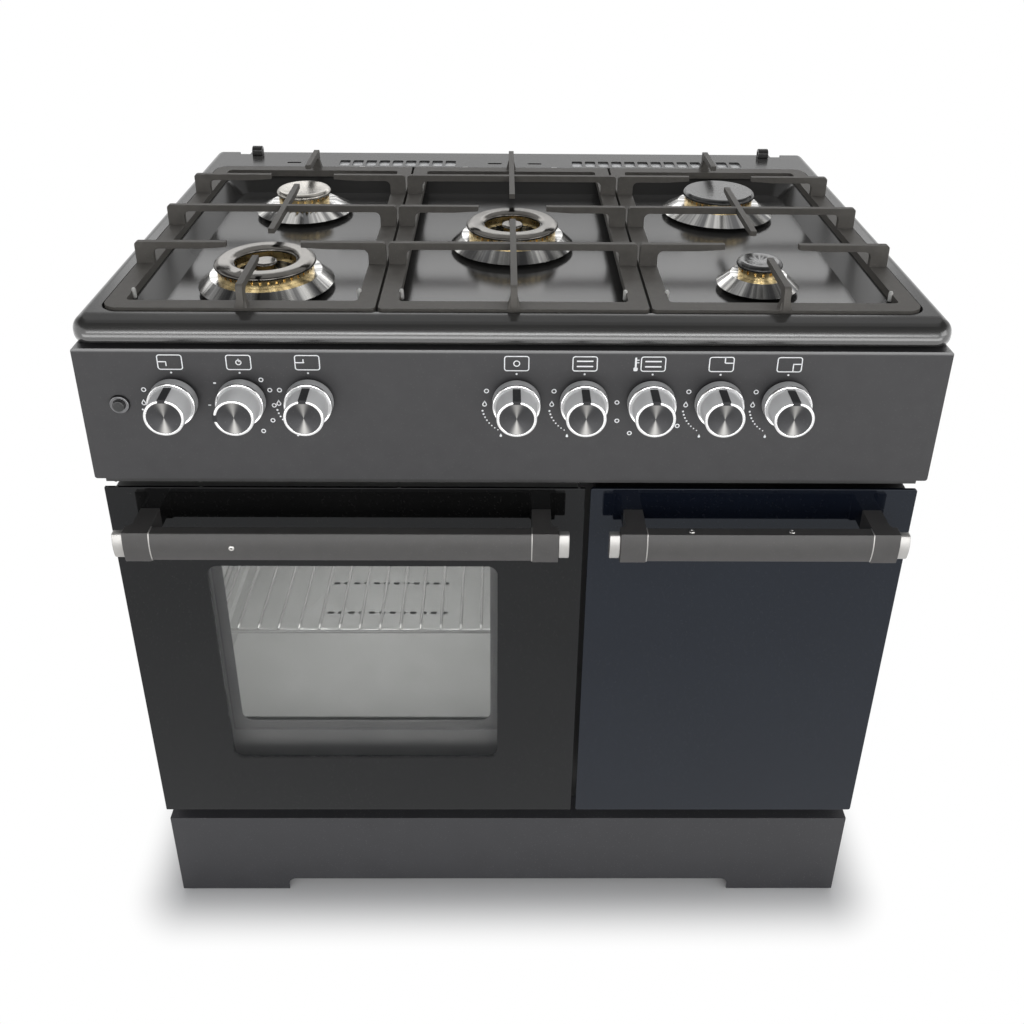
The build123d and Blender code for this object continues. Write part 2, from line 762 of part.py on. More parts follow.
# Burner caps: open rings on the two ring burners, dished discs on the others
cap_z = shoulder_z + ring_height
with BuildPart() as burner_caps:
    for burner in burners.values():
        with BuildSketch(axial(burner.x, burner.y)):
            with BuildLine():
                if burner.hole:
                    Polyline(
                        (burner.hole, cap_z),
                        (burner.cap, cap_z),
                        (burner.cap, cap_z + cap_height / 2),
                        (burner.cap - cap_height, cap_z + cap_height),
                        (burner.hole + cap_height, cap_z + cap_height),
                        (burner.hole, cap_z + cap_height / 2),
                        close=True,
                    )
                else:
                    Polyline(
                        (0, cap_z),
                        (burner.cap, cap_z),
                        (burner.cap, cap_z + cap_height / 2),
                        (burner.cap - cap_height / 2, cap_z + cap_height),
                        (burner.cap - cap_height, cap_z + cap_height),
                        (0, cap_z + cap_height - cap_dish),
                        close=True,
                    )
            make_face()
        revolve(axis=Axis((burner.x, burner.y, 0), (0, 0, 1)))
        if burner.hole:
            with BuildSketch(Plane.XY.offset(cap_z)):
                with Locations((burner.x, burner.y)):
                    Circle(inner_cap_radius)
            extrude(amount=cap_height / 2, taper=20)
save(burner_caps, "burner_caps")

# Spark plugs: ceramic sticks with a collar, standing in the cups
with BuildPart() as spark_plugs:
    for burner in burners.values():
        with BuildSketch(axial(burner.x, burner.spark_y)):
            with BuildLine():
                Polyline(
                    (0, well_z - pot_depth),
                    (spark_collar, well_z - pot_depth),
                    (spark_collar, shoulder_z - spark_step),
                    (spark_radius, shoulder_z),
                    (spark_radius / 3, cap_z),
                    (0, cap_z),
                    close=True,
                )
            make_face()
        revolve(axis=Axis((burner.x, burner.spark_y, 0), (0, 0, 1)))
save(spark_plugs, "spark_plugs")


def cross_bar(y, low, high, gap_x=None):
    # Bar across a grate at depth y, on a leg at each end, open for a burner at gap_x
    under = grate_z - bar_height
    with BuildSketch(facing(y)) as profile:
        with BuildLine():
            Polyline(
                (low, leg_foot),
                (low, grate_z),
                (high, grate_z),
                (high, leg_foot),
                (high - frame_strip, leg_foot),
                (high - frame_strip, under),
                (low + frame_strip, under),
                (low + frame_strip, leg_foot),
                close=True,
            )
        make_face()
        fillet([corner for corner in profile.vertices() if abs(corner.Y - under) < fit_gap], leg_gusset)
        fillet(profile.vertices().group_by(Axis.Y)[-1], leg_corner)
        if gap_x is not None:
            with BuildLine():
                Polyline(
                    (gap_x - finger_gap - tip_run, under),
                    (gap_x - finger_gap, grate_z - tip_height),
                    (gap_x - finger_gap, grate_z + fit_gap),
                    (gap_x + finger_gap, grate_z + fit_gap),
                    (gap_x + finger_gap, grate_z - tip_height),
                    (gap_x + finger_gap + tip_run, under),
                    close=True,
                )
            make_face(mode=Mode.SUBTRACT)
    extrude(profile.sketch, amount=bar_width / 2, both=True)


def long_finger(x, strip_y, tip_y):
    # Finger on a post that rises from the front or rear strip of a frame and runs to a burner
    way = 1 if tip_y > strip_y else -1
    under = grate_z - bar_height
    post_y = strip_y + way * post_depth
    with BuildSketch(Plane.YZ.offset(x)) as profile:
        with BuildLine():
            Polyline(
                (strip_y, leg_foot),
                (strip_y, grate_z),
                (tip_y, grate_z),
                (tip_y, grate_z - tip_height),
                (tip_y - way * tip_run, under),
                (post_y, under),
                (post_y, leg_foot),
                close=True,
            )
        make_face()
        fillet(profile.vertices().sort_by_distance((strip_y, grate_z))[0], leg_corner)
        fillet(profile.vertices().sort_by_distance((post_y, under))[0], leg_gusset)
    extrude(profile.sketch, amount=bar_width / 2, both=True)
    with BuildSketch(Plane.XY.offset(leg_foot)) as flare:
        with Locations((x, strip_y + way * post_depth / 2)):
            Rectangle(2 * bar_width, post_depth)
    extrude(flare.sketch, amount=2 * bar_width, taper=14)


def free_finger(x, low, high):
    # Bar along the cooker that crosses a cross bar and points at a burner with each end
    with BuildSketch(Plane.YZ.offset(x)) as profile:
        with BuildLine():
            Polyline(
                (low, grate_z),
                (high, grate_z),
                (high, grate_z - tip_height),
                (high - tip_run, grate_z - bar_height),
                (low + tip_run, grate_z - bar_height),
                (low, grate_z - tip_height),
                close=True,
            )
        make_face()
    extrude(profile.sketch, amount=bar_width / 2, both=True)


def grate_frame(low, high, low_corner, high_corner):
    # Flat outer frame of a grate, rounded where it follows the corners of the recess
    with BuildSketch(Plane.XY.offset(grate_seat)) as outline:
        with Locations(((low + high) / 2, (grate_front + grate_rear) / 2)):
            Rectangle(high - low, grate_rear - grate_front)
            fillet(outline.vertices().group_by(Axis.X)[0], low_corner)
            fillet(outline.vertices().group_by(Axis.X)[-1], high_corner)
            RectangleRounded(
                high - low - 2 * frame_strip,
                grate_rear - grate_front - 2 * frame_strip,
                frame_inner_corner,
                mode=Mode.SUBTRACT,
            )
    extrude(outline.sketch, amount=frame_top_z - grate_seat)


# Cast-iron grates
grate_front = front_y + recess_front + grate_margin
grate_rear = front_y + recess_front + recess_depth_y - grate_rear_margin
grate_outer = recess_half - grate_margin
centre_half = centre_grate_width / 2
side_inner = centre_half + grate_seam
leg_foot = frame_top_z - sheet
for name, side, rear_gap in (("grate_left", -1, finger_gap), ("grate_right", 1, wide_gap)):
    low = -grate_outer if side < 0 else side_inner
    high = -side_inner if side < 0 else grate_outer
    x = side * column_x
    with BuildPart() as side_grate:
        if side < 0:
            grate_frame(low, high, frame_corner, frame_inner_corner)
        else:
            grate_frame(low, high, frame_inner_corner, frame_corner)
        cross_bar(row_y[0], low, high, x)
        cross_bar(row_y[1], low, high)
        cross_bar(row_y[2], low, high, x)
        long_finger(x, grate_front, row_y[0] - finger_gap)
        free_finger(x, row_y[0] + finger_gap, row_y[2] - rear_gap)
        long_finger(x, grate_rear, row_y[2] + rear_gap)
    save(side_grate, name)

with BuildPart() as grate_centre:
    grate_frame(-centre_half, centre_half, frame_inner_corner, frame_inner_corner)
    cross_bar(row_y[0], -centre_half, centre_half)
    cross_bar(row_y[1], -centre_half, centre_half, 0)
    cross_bar(row_y[2], -centre_half, centre_half)
    long_finger(0, grate_front, row_y[1] - wide_gap)
    long_finger(0, grate_rear, row_y[1] + wide_gap)
save(grate_centre, "grate_centre")

# Gas rail along the taps, turned back to the inlet
inlet_end = back_y - inlet_cover
with BuildPart() as gas_rail:
    with BuildLine() as rail_path:
        FilletPolyline(
            (left_knob_x - 2 * tap_radius, rail_y, knob_z),
            (rail_end_x, rail_y, knob_z),
            (rail_end_x, inlet_end - inlet_length, knob_z),
            radius=3 * rail_radius,
        )
    with BuildSketch(Plane(rail_path.line @ 0, z_dir=rail_path.line % 0)):
        Circle(rail_radius)
    sweep()
    with BuildSketch(facing(inlet_end - inlet_length)):
        with Locations((rail_end_x, knob_z)):
            Circle(inlet_radius)
    extrude(amount=-inlet_length)
save(gas_rail, "gas_rail")

# Gas taps: bored bodies against the rail, each with a pipe seat on top
tap_front_y = front_y + tap_front
with BuildPart() as gas_taps:
    for name in tap_names:
        x = knob_x[name]
        with BuildSketch(facing(tap_front_y)):
            with Locations((x, knob_z)):
                Circle(tap_radius)
        extrude(amount=-(tap_back_y - tap_front_y))
        with BuildSketch(Plane.XY.offset(knob_z)):
            with Locations((x, (tap_front_y + tap_back_y) / 2)):
                Circle(outlet_radius)
        extrude(amount=-outlet_height if name == "oven" else outlet_height)
        with BuildSketch(facing(tap_front_y)):
            with Locations((x, knob_z)):
                Circle(spindle_radius + run_gap)
        extrude(amount=-(spindle_seat + fit_gap), mode=Mode.SUBTRACT)
save(gas_taps, "gas_taps")

# Gas pipes from the taps to the burners
tap_middle_y = (tap_front_y + tap_back_y) / 2
pot_z = well_z - pot_depth
pipe_z = (outlet_z + pot_z) / 2
with BuildPart() as gas_pipes:
    for name in tap_names:
        x = knob_x[name]
        if name == "oven":
            stops = [
                (x, tap_middle_y, knob_z - outlet_height),
                (x, tap_middle_y, panel_bottom + 2 * pipe_bend),
                (oven_x, feed_y + pipe_radius, panel_bottom + 2 * pipe_bend),
                (oven_x, feed_y + pipe_radius, oven_tube_z - oven_tube),
            ]
        else:
            burner = burners[name]
            stops = [
                (x, tap_middle_y, outlet_z),
                (x, tap_middle_y, pipe_z),
                (burner.x, burner.y, pipe_z),
                (burner.x, burner.y, pot_z),
            ]
        with BuildLine() as pipe_path:
            FilletPolyline(*stops, radius=pipe_bend)
        with BuildSketch(Plane(pipe_path.line @ 0, z_dir=pipe_path.line % 0)):
            Circle(pipe_radius)
        sweep(path=pipe_path.line)
save(gas_pipes, "gas_pipes")

# Timer and function switch behind the panel
with BuildPart() as switch_bodies:
    for name in switch_names:
        with BuildSketch(facing(front_y + sheet)):
            with Locations((knob_x[name], knob_z)):
                RectangleRounded(switch_width, switch_width, panel_corner)
        extrude(amount=-switch_depth)
        with BuildSketch(facing(front_y + sheet)):
            with Locations((knob_x[name], knob_z)):
                Circle(spindle_radius + run_gap)
        extrude(amount=-(tap_front + spindle_seat + fit_gap - sheet), mode=Mode.SUBTRACT)
save(switch_bodies, "switch_bodies")

# Spindles: round where they turn, flatted where they carry the knob
spindle_front = front_y - knob_gap - spindle_grip
for name, x in knob_x.items():
    with BuildPart() as spindle:
        with BuildSketch(facing(tap_front_y + spindle_seat)):
            with Locations((x, knob_z)):
                Circle(spindle_radius)
        extrude(amount=tap_front_y + spindle_seat - spindle_front)
        with BuildSketch(facing(spindle_front)):
            with Locations((x, knob_z + spindle_flat + spindle_radius)):
                Rectangle(4 * spindle_radius, 2 * spindle_radius)
        extrude(amount=-(spindle_grip + push_travel), mode=Mode.SUBTRACT)
    save(spindle, f"{name}_spindle")

# Knobs: collar, tapered grip and dished face, with a pointer groove and a D-shaped bore
for name, x in knob_x.items():
    knob_back = front_y - knob_gap
    knob_face = front_y - knob_reach
    collar_front = knob_back - collar_length
    with BuildPart() as knob:
        with BuildSketch(Plane(origin=(x, 0, knob_z), x_dir=(1, 0, 0), z_dir=(0, 0, 1))):
            with BuildLine():
                Polyline(
                    (0, knob_face + face_dish),
                    (0, knob_back),
                    (collar_radius, knob_back),
                    (collar_radius, collar_front + collar_edge),
                    (collar_radius - collar_edge, collar_front),
                    (grip_radius, collar_front),
                    (grip_radius - grip_taper, knob_face + grip_edge),
                    (grip_radius - grip_taper - grip_edge, knob_face),
                )
                Line((grip_radius - grip_taper - grip_edge, knob_face), (0, knob_face + face_dish))
            make_face()
        revolve(axis=Axis((x, 0, knob_z), (0, 1, 0)))
        turn = 90 if name == "timer" else 0
        pointer_x = x - sin(radians(turn)) * grip_radius
        pointer_z = knob_z + cos(radians(turn)) * grip_radius
        with BuildSketch(facing(knob_face)):
            with Locations(Location((pointer_x, pointer_z), turn)):
                Rectangle(pointer_width, 2 * (pointer_depth + grip_taper))
        extrude(amount=-(collar_front - knob_face - collar_edge), mode=Mode.SUBTRACT)
        with BuildSketch(facing(knob_back)):
            with Locations((x, knob_z)):
                Circle(spindle_radius + run_gap)
            with Locations((x, knob_z + spindle_flat + run_gap + spindle_radius)):
                Rectangle(4 * spindle_radius, 2 * spindle_radius, mode=Mode.SUBTRACT)
        extrude(amount=spindle_grip + push_travel + fit_gap, mode=Mode.SUBTRACT)
    save(knob, f"{name}_knob")

# Ignition button and its bezel
with BuildPart() as button_bezel:
    with BuildSketch(facing(front_y)):
        with Locations((button_x, button_z)):
            Circle(bezel_radius)
    extrude(amount=bezel_lip, taper=20)
    with BuildSketch(facing(front_y)):
        with Locations((button_x, button_z)):
            Circle(bezel_barrel)
    extrude(amount=-bezel_length)
    with BuildSketch(facing(front_y + bezel_length)):
        with Locations((button_x, button_z)):
            Circle(button_radius + run_gap)
    extrude(amount=bezel_length + 2 * bezel_lip, mode=Mode.SUBTRACT)
save(button_bezel, "button_bezel")

with BuildPart() as ignition_button:
    with BuildSketch(facing(button_front + button_length)):
        with Locations((button_x, button_z)):
            Circle(button_radius)
    extrude(amount=button_length)
    fillet(ignition_button.faces().sort_by(Axis.Y)[0].edges(), face_dish)
save(ignition_button, "ignition_button")

# Doors: outer glass, folded pan behind it, hinge arms, handle on two brackets
handle_top = door_top - handle_drop
handle_bottom = handle_top - handle_height
handle_front = front_y - handle_reach
handle_back = handle_front + handle_depth


def handle_section(grow):
    # Section of the handle bar: flat top, crowned front
    with BuildLine() as outline:
        Polyline(
            (handle_front + handle_bulge - grow, handle_top + grow),
            (handle_back + grow, handle_top + grow),
            (handle_back + grow, handle_bottom - grow),
            (handle_front + handle_bulge - grow, handle_bottom - grow),
        )
        ThreePointArc(
            (handle_front + handle_bulge - grow, handle_bottom - grow),
            (handle_front - min(grow, 0), (handle_top + handle_bottom) / 2),
            (handle_front + handle_bulge - grow, handle_top + grow),
        )
    make_face(outline.edges())


def make_door(name, left, right, left_inset, right_inset, window):
    # One drop-down door with all its pieces
    middle = (left + right) / 2
    door_width = right - left
    with BuildPart() as door_glass:
        with BuildSketch(facing(door_y)):
            with Locations((middle, (door_top + door_bottom) / 2)):
                RectangleRounded(door_width, door_height, glass_corner)
        extrude(amount=-glass)
    save(door_glass, f"{name}_door_glass")

    pan_bottom = door_bottom + pan_rise
    pan_top = door_top - pan_drop
    hinge_places = (left + hinge_inset, right - hinge_inset)
    hinge_room = hinge_arm / 2 + hinge_ear + 2 * fit_gap
    with BuildPart() as door_pan:
        block((left + pan_inset, pan_y, pan_bottom), (right - pan_inset, door_back_y, pan_top))
        offset(amount=-sheet, openings=door_pan.faces().sort_by(Axis.Y)[0])
        if window:
            with BuildSketch(facing(door_back_y - sheet)):
                with Locations((middle, (door_bottom + window_bottom + door_top - window_top) / 2)):
                    RectangleRounded(
                        door_width - 2 * window_side, door_height - window_bottom - window_top, window_corner
                    )
            extrude(amount=-2 * sheet, mode=Mode.SUBTRACT)
        for x in hinge_places:
            block(
                (x - hinge_room, hinge_y - hinge_barrel - fit_gap, pan_bottom - sheet),
                (x + hinge_room, door_back_y + sheet, pan_bottom + hinge_barrel + 2 * fit_gap),
                mode=Mode.SUBTRACT,
            )
    save(door_pan, f"{name}_door_pan")

    with BuildPart() as door_hinges:
        for x in hinge_places:
            with BuildSketch(Plane.YZ.offset(x - hinge_arm / 2)):
                with Locations((hinge_y, hinge_z)):
                    Circle(hinge_barrel - 1)
                with BuildLine():
                    Polyline(
                        (hinge_y - hinge_barrel + 1, hinge_z),
                        (hinge_y + hinge_barrel - 1, hinge_z),
                        (door_back_y - sheet, hinge_z + 2 * hinge_barrel),
                        (door_back_y - sheet, hinge_z + hinge_arm_height),
                        (hinge_y - hinge_barrel + 1, hinge_z + hinge_arm_height),
                        close=True,
                    )
                make_face()
            extrude(amount=hinge_arm)
            with BuildSketch(Plane.YZ.offset(x - ear_offset - hinge_ear)):
                with Locations((hinge_y, hinge_z)):
                    Circle(hinge_pin)
            extrude(amount=2 * (ear_offset + hinge_ear))
    save(door_hinges, f"{name}_door_hinges")

    bar_left = left + left_inset + cap_length + bracket_width
    bar_right = right - right_inset - cap_length - bracket_width
    with BuildPart() as handle_bar:
        with BuildSketch(Plane.YZ.offset(bar_left)):
            handle_section(0)
        extrude(amount=bar_right - bar_left)
        with BuildSketch(Plane.YZ.offset(bar_left)):
            with Locations(((handle_front + handle_bulge + handle_back) / 2, (handle_top + handle_bottom) / 2)):
                Rectangle(
                    handle_depth - handle_bulge - 2 * handle_wall,
                    handle_height - 2 * handle_wall,
                )
        extrude(amount=bar_right - bar_left, mode=Mode.SUBTRACT)
    save(handle_bar, f"{name}_handle_bar")

    with BuildPart() as handle_brackets:
        for side, inner in ((-1, bar_left), (1, bar_right)):
            outer = inner + side * bracket_width
            with BuildSketch(Plane.YZ.offset(min(inner, outer))):
                handle_section(bracket_lip)
            extrude(amount=bracket_width)
            arm_low = min(inner, inner + side * arm_width)
            with BuildSketch(Plane.XY.offset(handle_top + bracket_lip)):
                with Locations((arm_low + arm_width / 2, (handle_back + door_y) / 2)):
                    Rectangle(arm_width, door_y - handle_back)
                with Locations((inner + side * (arm_width + arm_corner / 2), handle_back + arm_corner / 2)):
                    Rectangle(arm_corner, arm_corner)
                with Locations((inner + side * (arm_width + arm_corner), handle_back + arm_corner)):
                    Circle(arm_corner, mode=Mode.SUBTRACT)
            extrude(amount=-arm_height)
    save(handle_brackets, f"{name}_handle_brackets")

    with BuildPart() as handle_caps:
        for start in (bar_left - bracket_width - cap_length, bar_right + bracket_width):
            with BuildSketch(Plane.YZ.offset(start)):
                handle_section(-cap_step)
            extrude(amount=cap_length)
    save(handle_caps, f"{name}_handle_caps")


make_door("oven", oven_left, oven_right, handle_inset, handle_inner_inset, True)
make_door("bottle", bottle_left, body_half, handle_inner_inset, handle_inset, False)

# Inner pane of the oven door, behind the window of the pan
with BuildPart() as oven_door_inner_glass:
    with BuildSketch(facing(door_back_y - sheet - glass)):
        with Locations((oven_x, (door_bottom + window_bottom + door_top - window_top) / 2)):
            RectangleRounded(
                oven_door_width - 2 * (window_side - inner_glass_lap),
                door_height - window_bottom - window_top + 2 * inner_glass_lap,
                glass_corner,
            )
    extrude(amount=-glass)
save(oven_door_inner_glass, "oven_door_inner_glass")
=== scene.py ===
import json
import math
import bpy
from mathutils import Matrix, Vector


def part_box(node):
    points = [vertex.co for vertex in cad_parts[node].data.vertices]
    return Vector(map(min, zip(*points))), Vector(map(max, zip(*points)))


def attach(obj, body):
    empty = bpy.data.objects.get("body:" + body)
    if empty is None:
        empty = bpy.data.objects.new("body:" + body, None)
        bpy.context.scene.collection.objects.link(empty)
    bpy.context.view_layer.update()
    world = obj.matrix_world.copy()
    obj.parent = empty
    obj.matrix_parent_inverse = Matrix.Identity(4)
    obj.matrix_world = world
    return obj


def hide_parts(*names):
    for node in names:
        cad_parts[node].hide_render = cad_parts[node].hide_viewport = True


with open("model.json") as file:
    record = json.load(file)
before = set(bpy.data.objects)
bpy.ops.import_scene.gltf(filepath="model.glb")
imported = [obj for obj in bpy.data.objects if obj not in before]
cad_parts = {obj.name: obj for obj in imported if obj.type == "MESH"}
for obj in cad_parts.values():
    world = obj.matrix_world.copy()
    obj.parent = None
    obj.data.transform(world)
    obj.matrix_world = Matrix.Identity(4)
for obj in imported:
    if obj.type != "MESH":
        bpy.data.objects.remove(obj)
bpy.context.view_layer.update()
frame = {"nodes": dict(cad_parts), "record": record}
cad = frame["nodes"]
mm = 0.001
meshCare = dict(weld=0.01, spinWeld=0.004, flatAngle=0.5, normalWeight=100)
print("frame loaded,", len(cad), "nodes")


# small helpers for picking, selecting and finishing
def pick(piece):
    if bpy.context.mode != "OBJECT":
        bpy.ops.object.mode_set(mode="OBJECT")
    bpy.ops.object.select_all(action="DESELECT")
    piece.select_set(True)
    bpy.context.view_layer.objects.active = piece


def applyPlace(piece):
    pick(piece)
    bpy.ops.object.transform_apply(location=True, rotation=True, scale=True)
    return piece


def editAll(piece):
    pick(piece)
    bpy.ops.object.mode_set(mode="EDIT")
    bpy.ops.mesh.select_all(action="SELECT")


def selectFaces(piece, wanted):
    editAll(piece)
    bpy.ops.mesh.select_mode(type="FACE")
    bpy.ops.mesh.select_all(action="DESELECT")
    bpy.ops.object.mode_set(mode="OBJECT")
    for face in piece.data.polygons:
        face.select = wanted(face.center, face.normal)
    bpy.ops.object.mode_set(mode="EDIT")


def selectEdges(piece, wanted):
    editAll(piece)
    bpy.ops.mesh.select_mode(type="EDGE")
    bpy.ops.mesh.select_all(action="DESELECT")
    bpy.ops.object.mode_set(mode="OBJECT")
    points = piece.data.vertices
    for edge in piece.data.edges:
        edge.select = wanted(points[edge.vertices[0]].co, points[edge.vertices[1]].co)
    bpy.ops.object.mode_set(mode="EDIT")


def finishWith(piece, kind, **values):
    pick(piece)
    bpy.ops.object.modifier_add(type=kind)
    modifier = piece.modifiers[-1]
    for key, value in values.items():
        setattr(modifier, key, value)
    bpy.ops.object.modifier_apply(modifier=modifier.name)


def smooth(piece, angle=30):
    pick(piece)
    bpy.ops.object.shade_smooth_by_angle(angle=math.radians(angle))


def soften(piece, width, segments=2, angle=30):
    finishWith(piece, "BEVEL", width=width * mm, segments=segments, limit_method="ANGLE",
               angle_limit=math.radians(angle))
    smooth(piece, angle)
    finishWith(piece, "WEIGHTED_NORMAL", keep_sharp=True, weight=meshCare["normalWeight"])


def softCopy(nodeName, pieceName, width):
    piece = bpy.data.objects.new(pieceName, cad[nodeName].data.copy())
    bpy.context.collection.objects.link(piece)
    editAll(piece)
    bpy.ops.mesh.remove_doubles(threshold=meshCare["weld"] * mm)
    bpy.ops.mesh.dissolve_limited(angle_limit=math.radians(meshCare["flatAngle"]))
    bpy.ops.object.mode_set(mode="OBJECT")
    if width:
        soften(piece, width)
    else:
        smooth(piece)
    return piece


def block(name, low, high, edge):
    size = [b - a for a, b in zip(low, high)]
    middle = [(a + b) / 2 * mm for a, b in zip(low, high)]
    bpy.ops.mesh.primitive_cube_add(size=1, location=middle)
    piece = bpy.context.object
    piece.name = name
    piece.scale = [s * mm for s in size]
    applyPlace(piece)
    if edge:
        soften(piece, edge)
    return piece


# an outline of (radius, along) points in mm, spun round the Y or the Z axis to a closed piece
def spinPiece(name, outline, axis, steps=64):
    bpy.ops.mesh.primitive_plane_add(size=mm)
    piece = bpy.context.object
    piece.name = name
    bpy.ops.object.mode_set(mode="EDIT")
    bpy.ops.mesh.select_mode(type="VERT")
    bpy.ops.mesh.select_all(action="SELECT")
    bpy.ops.mesh.merge(type="CENTER")
    along = Vector((0, 1, 0)) if axis == "Y" else Vector((0, 0, 1))
    points = [Vector((radius * mm, 0, 0)) + along * (place * mm) for radius, place in outline]
    bpy.ops.transform.translate(value=points[0])
    for here, there in zip(points, points[1:]):
        bpy.ops.mesh.extrude_vertices_move(TRANSFORM_OT_translate={"value": there - here})
    bpy.ops.mesh.select_all(action="SELECT")
    bpy.ops.mesh.spin(steps=steps, angle=math.tau, center=(0, 0, 0), axis=along)
    bpy.ops.mesh.select_all(action="SELECT")
    bpy.ops.mesh.remove_doubles(threshold=meshCare["spinWeld"] * mm)
    bpy.ops.mesh.normals_make_consistent(inside=False)
    bpy.ops.object.mode_set(mode="OBJECT")
    smooth(piece)
    return piece


def copyTo(master, name, place, turn=0):
    pick(master)
    bpy.ops.object.duplicate()
    piece = bpy.context.object
    piece.name = name
    piece.location = [c * mm for c in place]
    piece.rotation_euler.y = math.radians(turn)
    return applyPlace(piece)


def joinPieces(pieces, name):
    pick(pieces[0])
    for piece in pieces:
        piece.select_set(True)
    bpy.ops.object.join()
    bpy.context.object.name = name
    return bpy.context.object


def camelName(node):
    first, *others = node.split("_")
    return first + "".join(word.capitalize() for word in others)


def seat(piece, body, finish, slotName, *nodes):
    piece.data.materials.clear()
    piece.data.materials.append(finish)
    for face in piece.data.polygons:
        face.material_index = 0
    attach(piece, body)
    if nodes:
        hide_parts(*nodes)
    return piece


# helpers for shader trees, where a source is a value or the output of a node
def feed(tree, socket, source):
    if isinstance(source, bpy.types.NodeSocket):
        tree.links.new(source, socket)
    else:
        socket.default_value = source


def addMath(tree, operation, *sources, kind="ShaderNodeMath", result=0):
    node = tree.nodes.new(kind)
    node.operation = operation
    for socket, source in zip(node.inputs, sources):
        feed(tree, socket, source)
    return node.outputs[result]


def addRamp(tree, value, fromMin=0, fromMax=1, toMin=0, toMax=1):
    node = tree.nodes.new("ShaderNodeMapRange")
    tree.links.new(value, node.inputs["Value"])
    node.inputs["From Min"].default_value = fromMin
    node.inputs["From Max"].default_value = fromMax
    node.inputs["To Min"].default_value = toMin
    node.inputs["To Max"].default_value = toMax
    return node.outputs["Result"]


def addNoise(tree, place, scale, detail):
    node = tree.nodes.new("ShaderNodeTexNoise")
    node.inputs["Detail"].default_value = detail
    tree.links.new(place, node.inputs["Vector"])
    feed(tree, node.inputs["Scale"], scale)
    return node.outputs["Fac"]


def newGroup(name, inputs, outputs):
    group = bpy.data.node_groups.new(name, "ShaderNodeTree")
    for socket, kind in inputs:
        group.interface.new_socket(socket, in_out="INPUT", socket_type=kind)
    for socket in outputs:
        group.interface.new_socket(socket, in_out="OUTPUT", socket_type="NodeSocketFloat")
    return group, group.nodes.new("NodeGroupInput"), group.nodes.new("NodeGroupOutput")


# shared effects: an uneven grain, and fine dust
grainLook = dict(cloudDetail=5, fineDetail=2, finer=9, bumpDepth=0.2)
surfaceGrain, given, result = newGroup(
    "surfaceGrain", [("Place", "NodeSocketVector"), ("Scale", "NodeSocketFloat")], ["Mask", "Height"])
place, scale = given.outputs["Place"], given.outputs["Scale"]
cloudy = addNoise(surfaceGrain, place, scale, grainLook["cloudDetail"])
finer = addMath(surfaceGrain, "MULTIPLY", scale, grainLook["finer"])
fine = addNoise(surfaceGrain, place, finer, grainLook["fineDetail"])
surfaceGrain.links.new(cloudy, result.inputs["Mask"])
surfaceGrain.links.new(fine, result.inputs["Height"])

dustLook = dict(patches=7, patchDetail=2, specks=240, rim=0.22, core=0.05)
dustSpecks, given, result = newGroup(
    "dustSpecks", [("Place", "NodeSocketVector"), ("Amount", "NodeSocketFloat")], ["Mask"])
place, amount = given.outputs["Place"], given.outputs["Amount"]
patches = addNoise(dustSpecks, place, dustLook["patches"], dustLook["patchDetail"])
specks = dustSpecks.nodes.new("ShaderNodeTexVoronoi")
specks.inputs["Scale"].default_value = dustLook["specks"]
dustSpecks.links.new(place, specks.inputs["Vector"])
near = addRamp(dustSpecks, specks.outputs["Distance"], dustLook["rim"], dustLook["core"])
thin = addMath(dustSpecks, "MULTIPLY", near, patches)
dustSpecks.links.new(addMath(dustSpecks, "MULTIPLY", thin, amount), result.inputs["Mask"])


def placeGroup(tree, group, vector, **values):
    node = tree.nodes.new("ShaderNodeGroup")
    node.node_tree = group
    tree.links.new(vector, node.inputs["Place"])
    for key, value in values.items():
        node.inputs[key].default_value = value
    return node


def mixColours(tree, factor, first, second):
    node = tree.nodes.new("ShaderNodeMix")
    node.data_type = "RGBA"
    tree.links.new(factor, node.inputs["Factor"])
    for socket, colour in ((node.inputs[6], first), (node.inputs[7], second)):
        feed(tree, socket, (*colour, 1) if isinstance(colour, tuple) else colour)
    return node.outputs[2]


def blendShaders(tree, factor, first, second, output):
    blend = tree.nodes.new("ShaderNodeMixShader")
    for socket, source in zip(blend.inputs, (factor, first, second)):
        tree.links.new(source, socket)
    tree.links.new(blend.outputs[0], tree.nodes[output].inputs["Surface"])


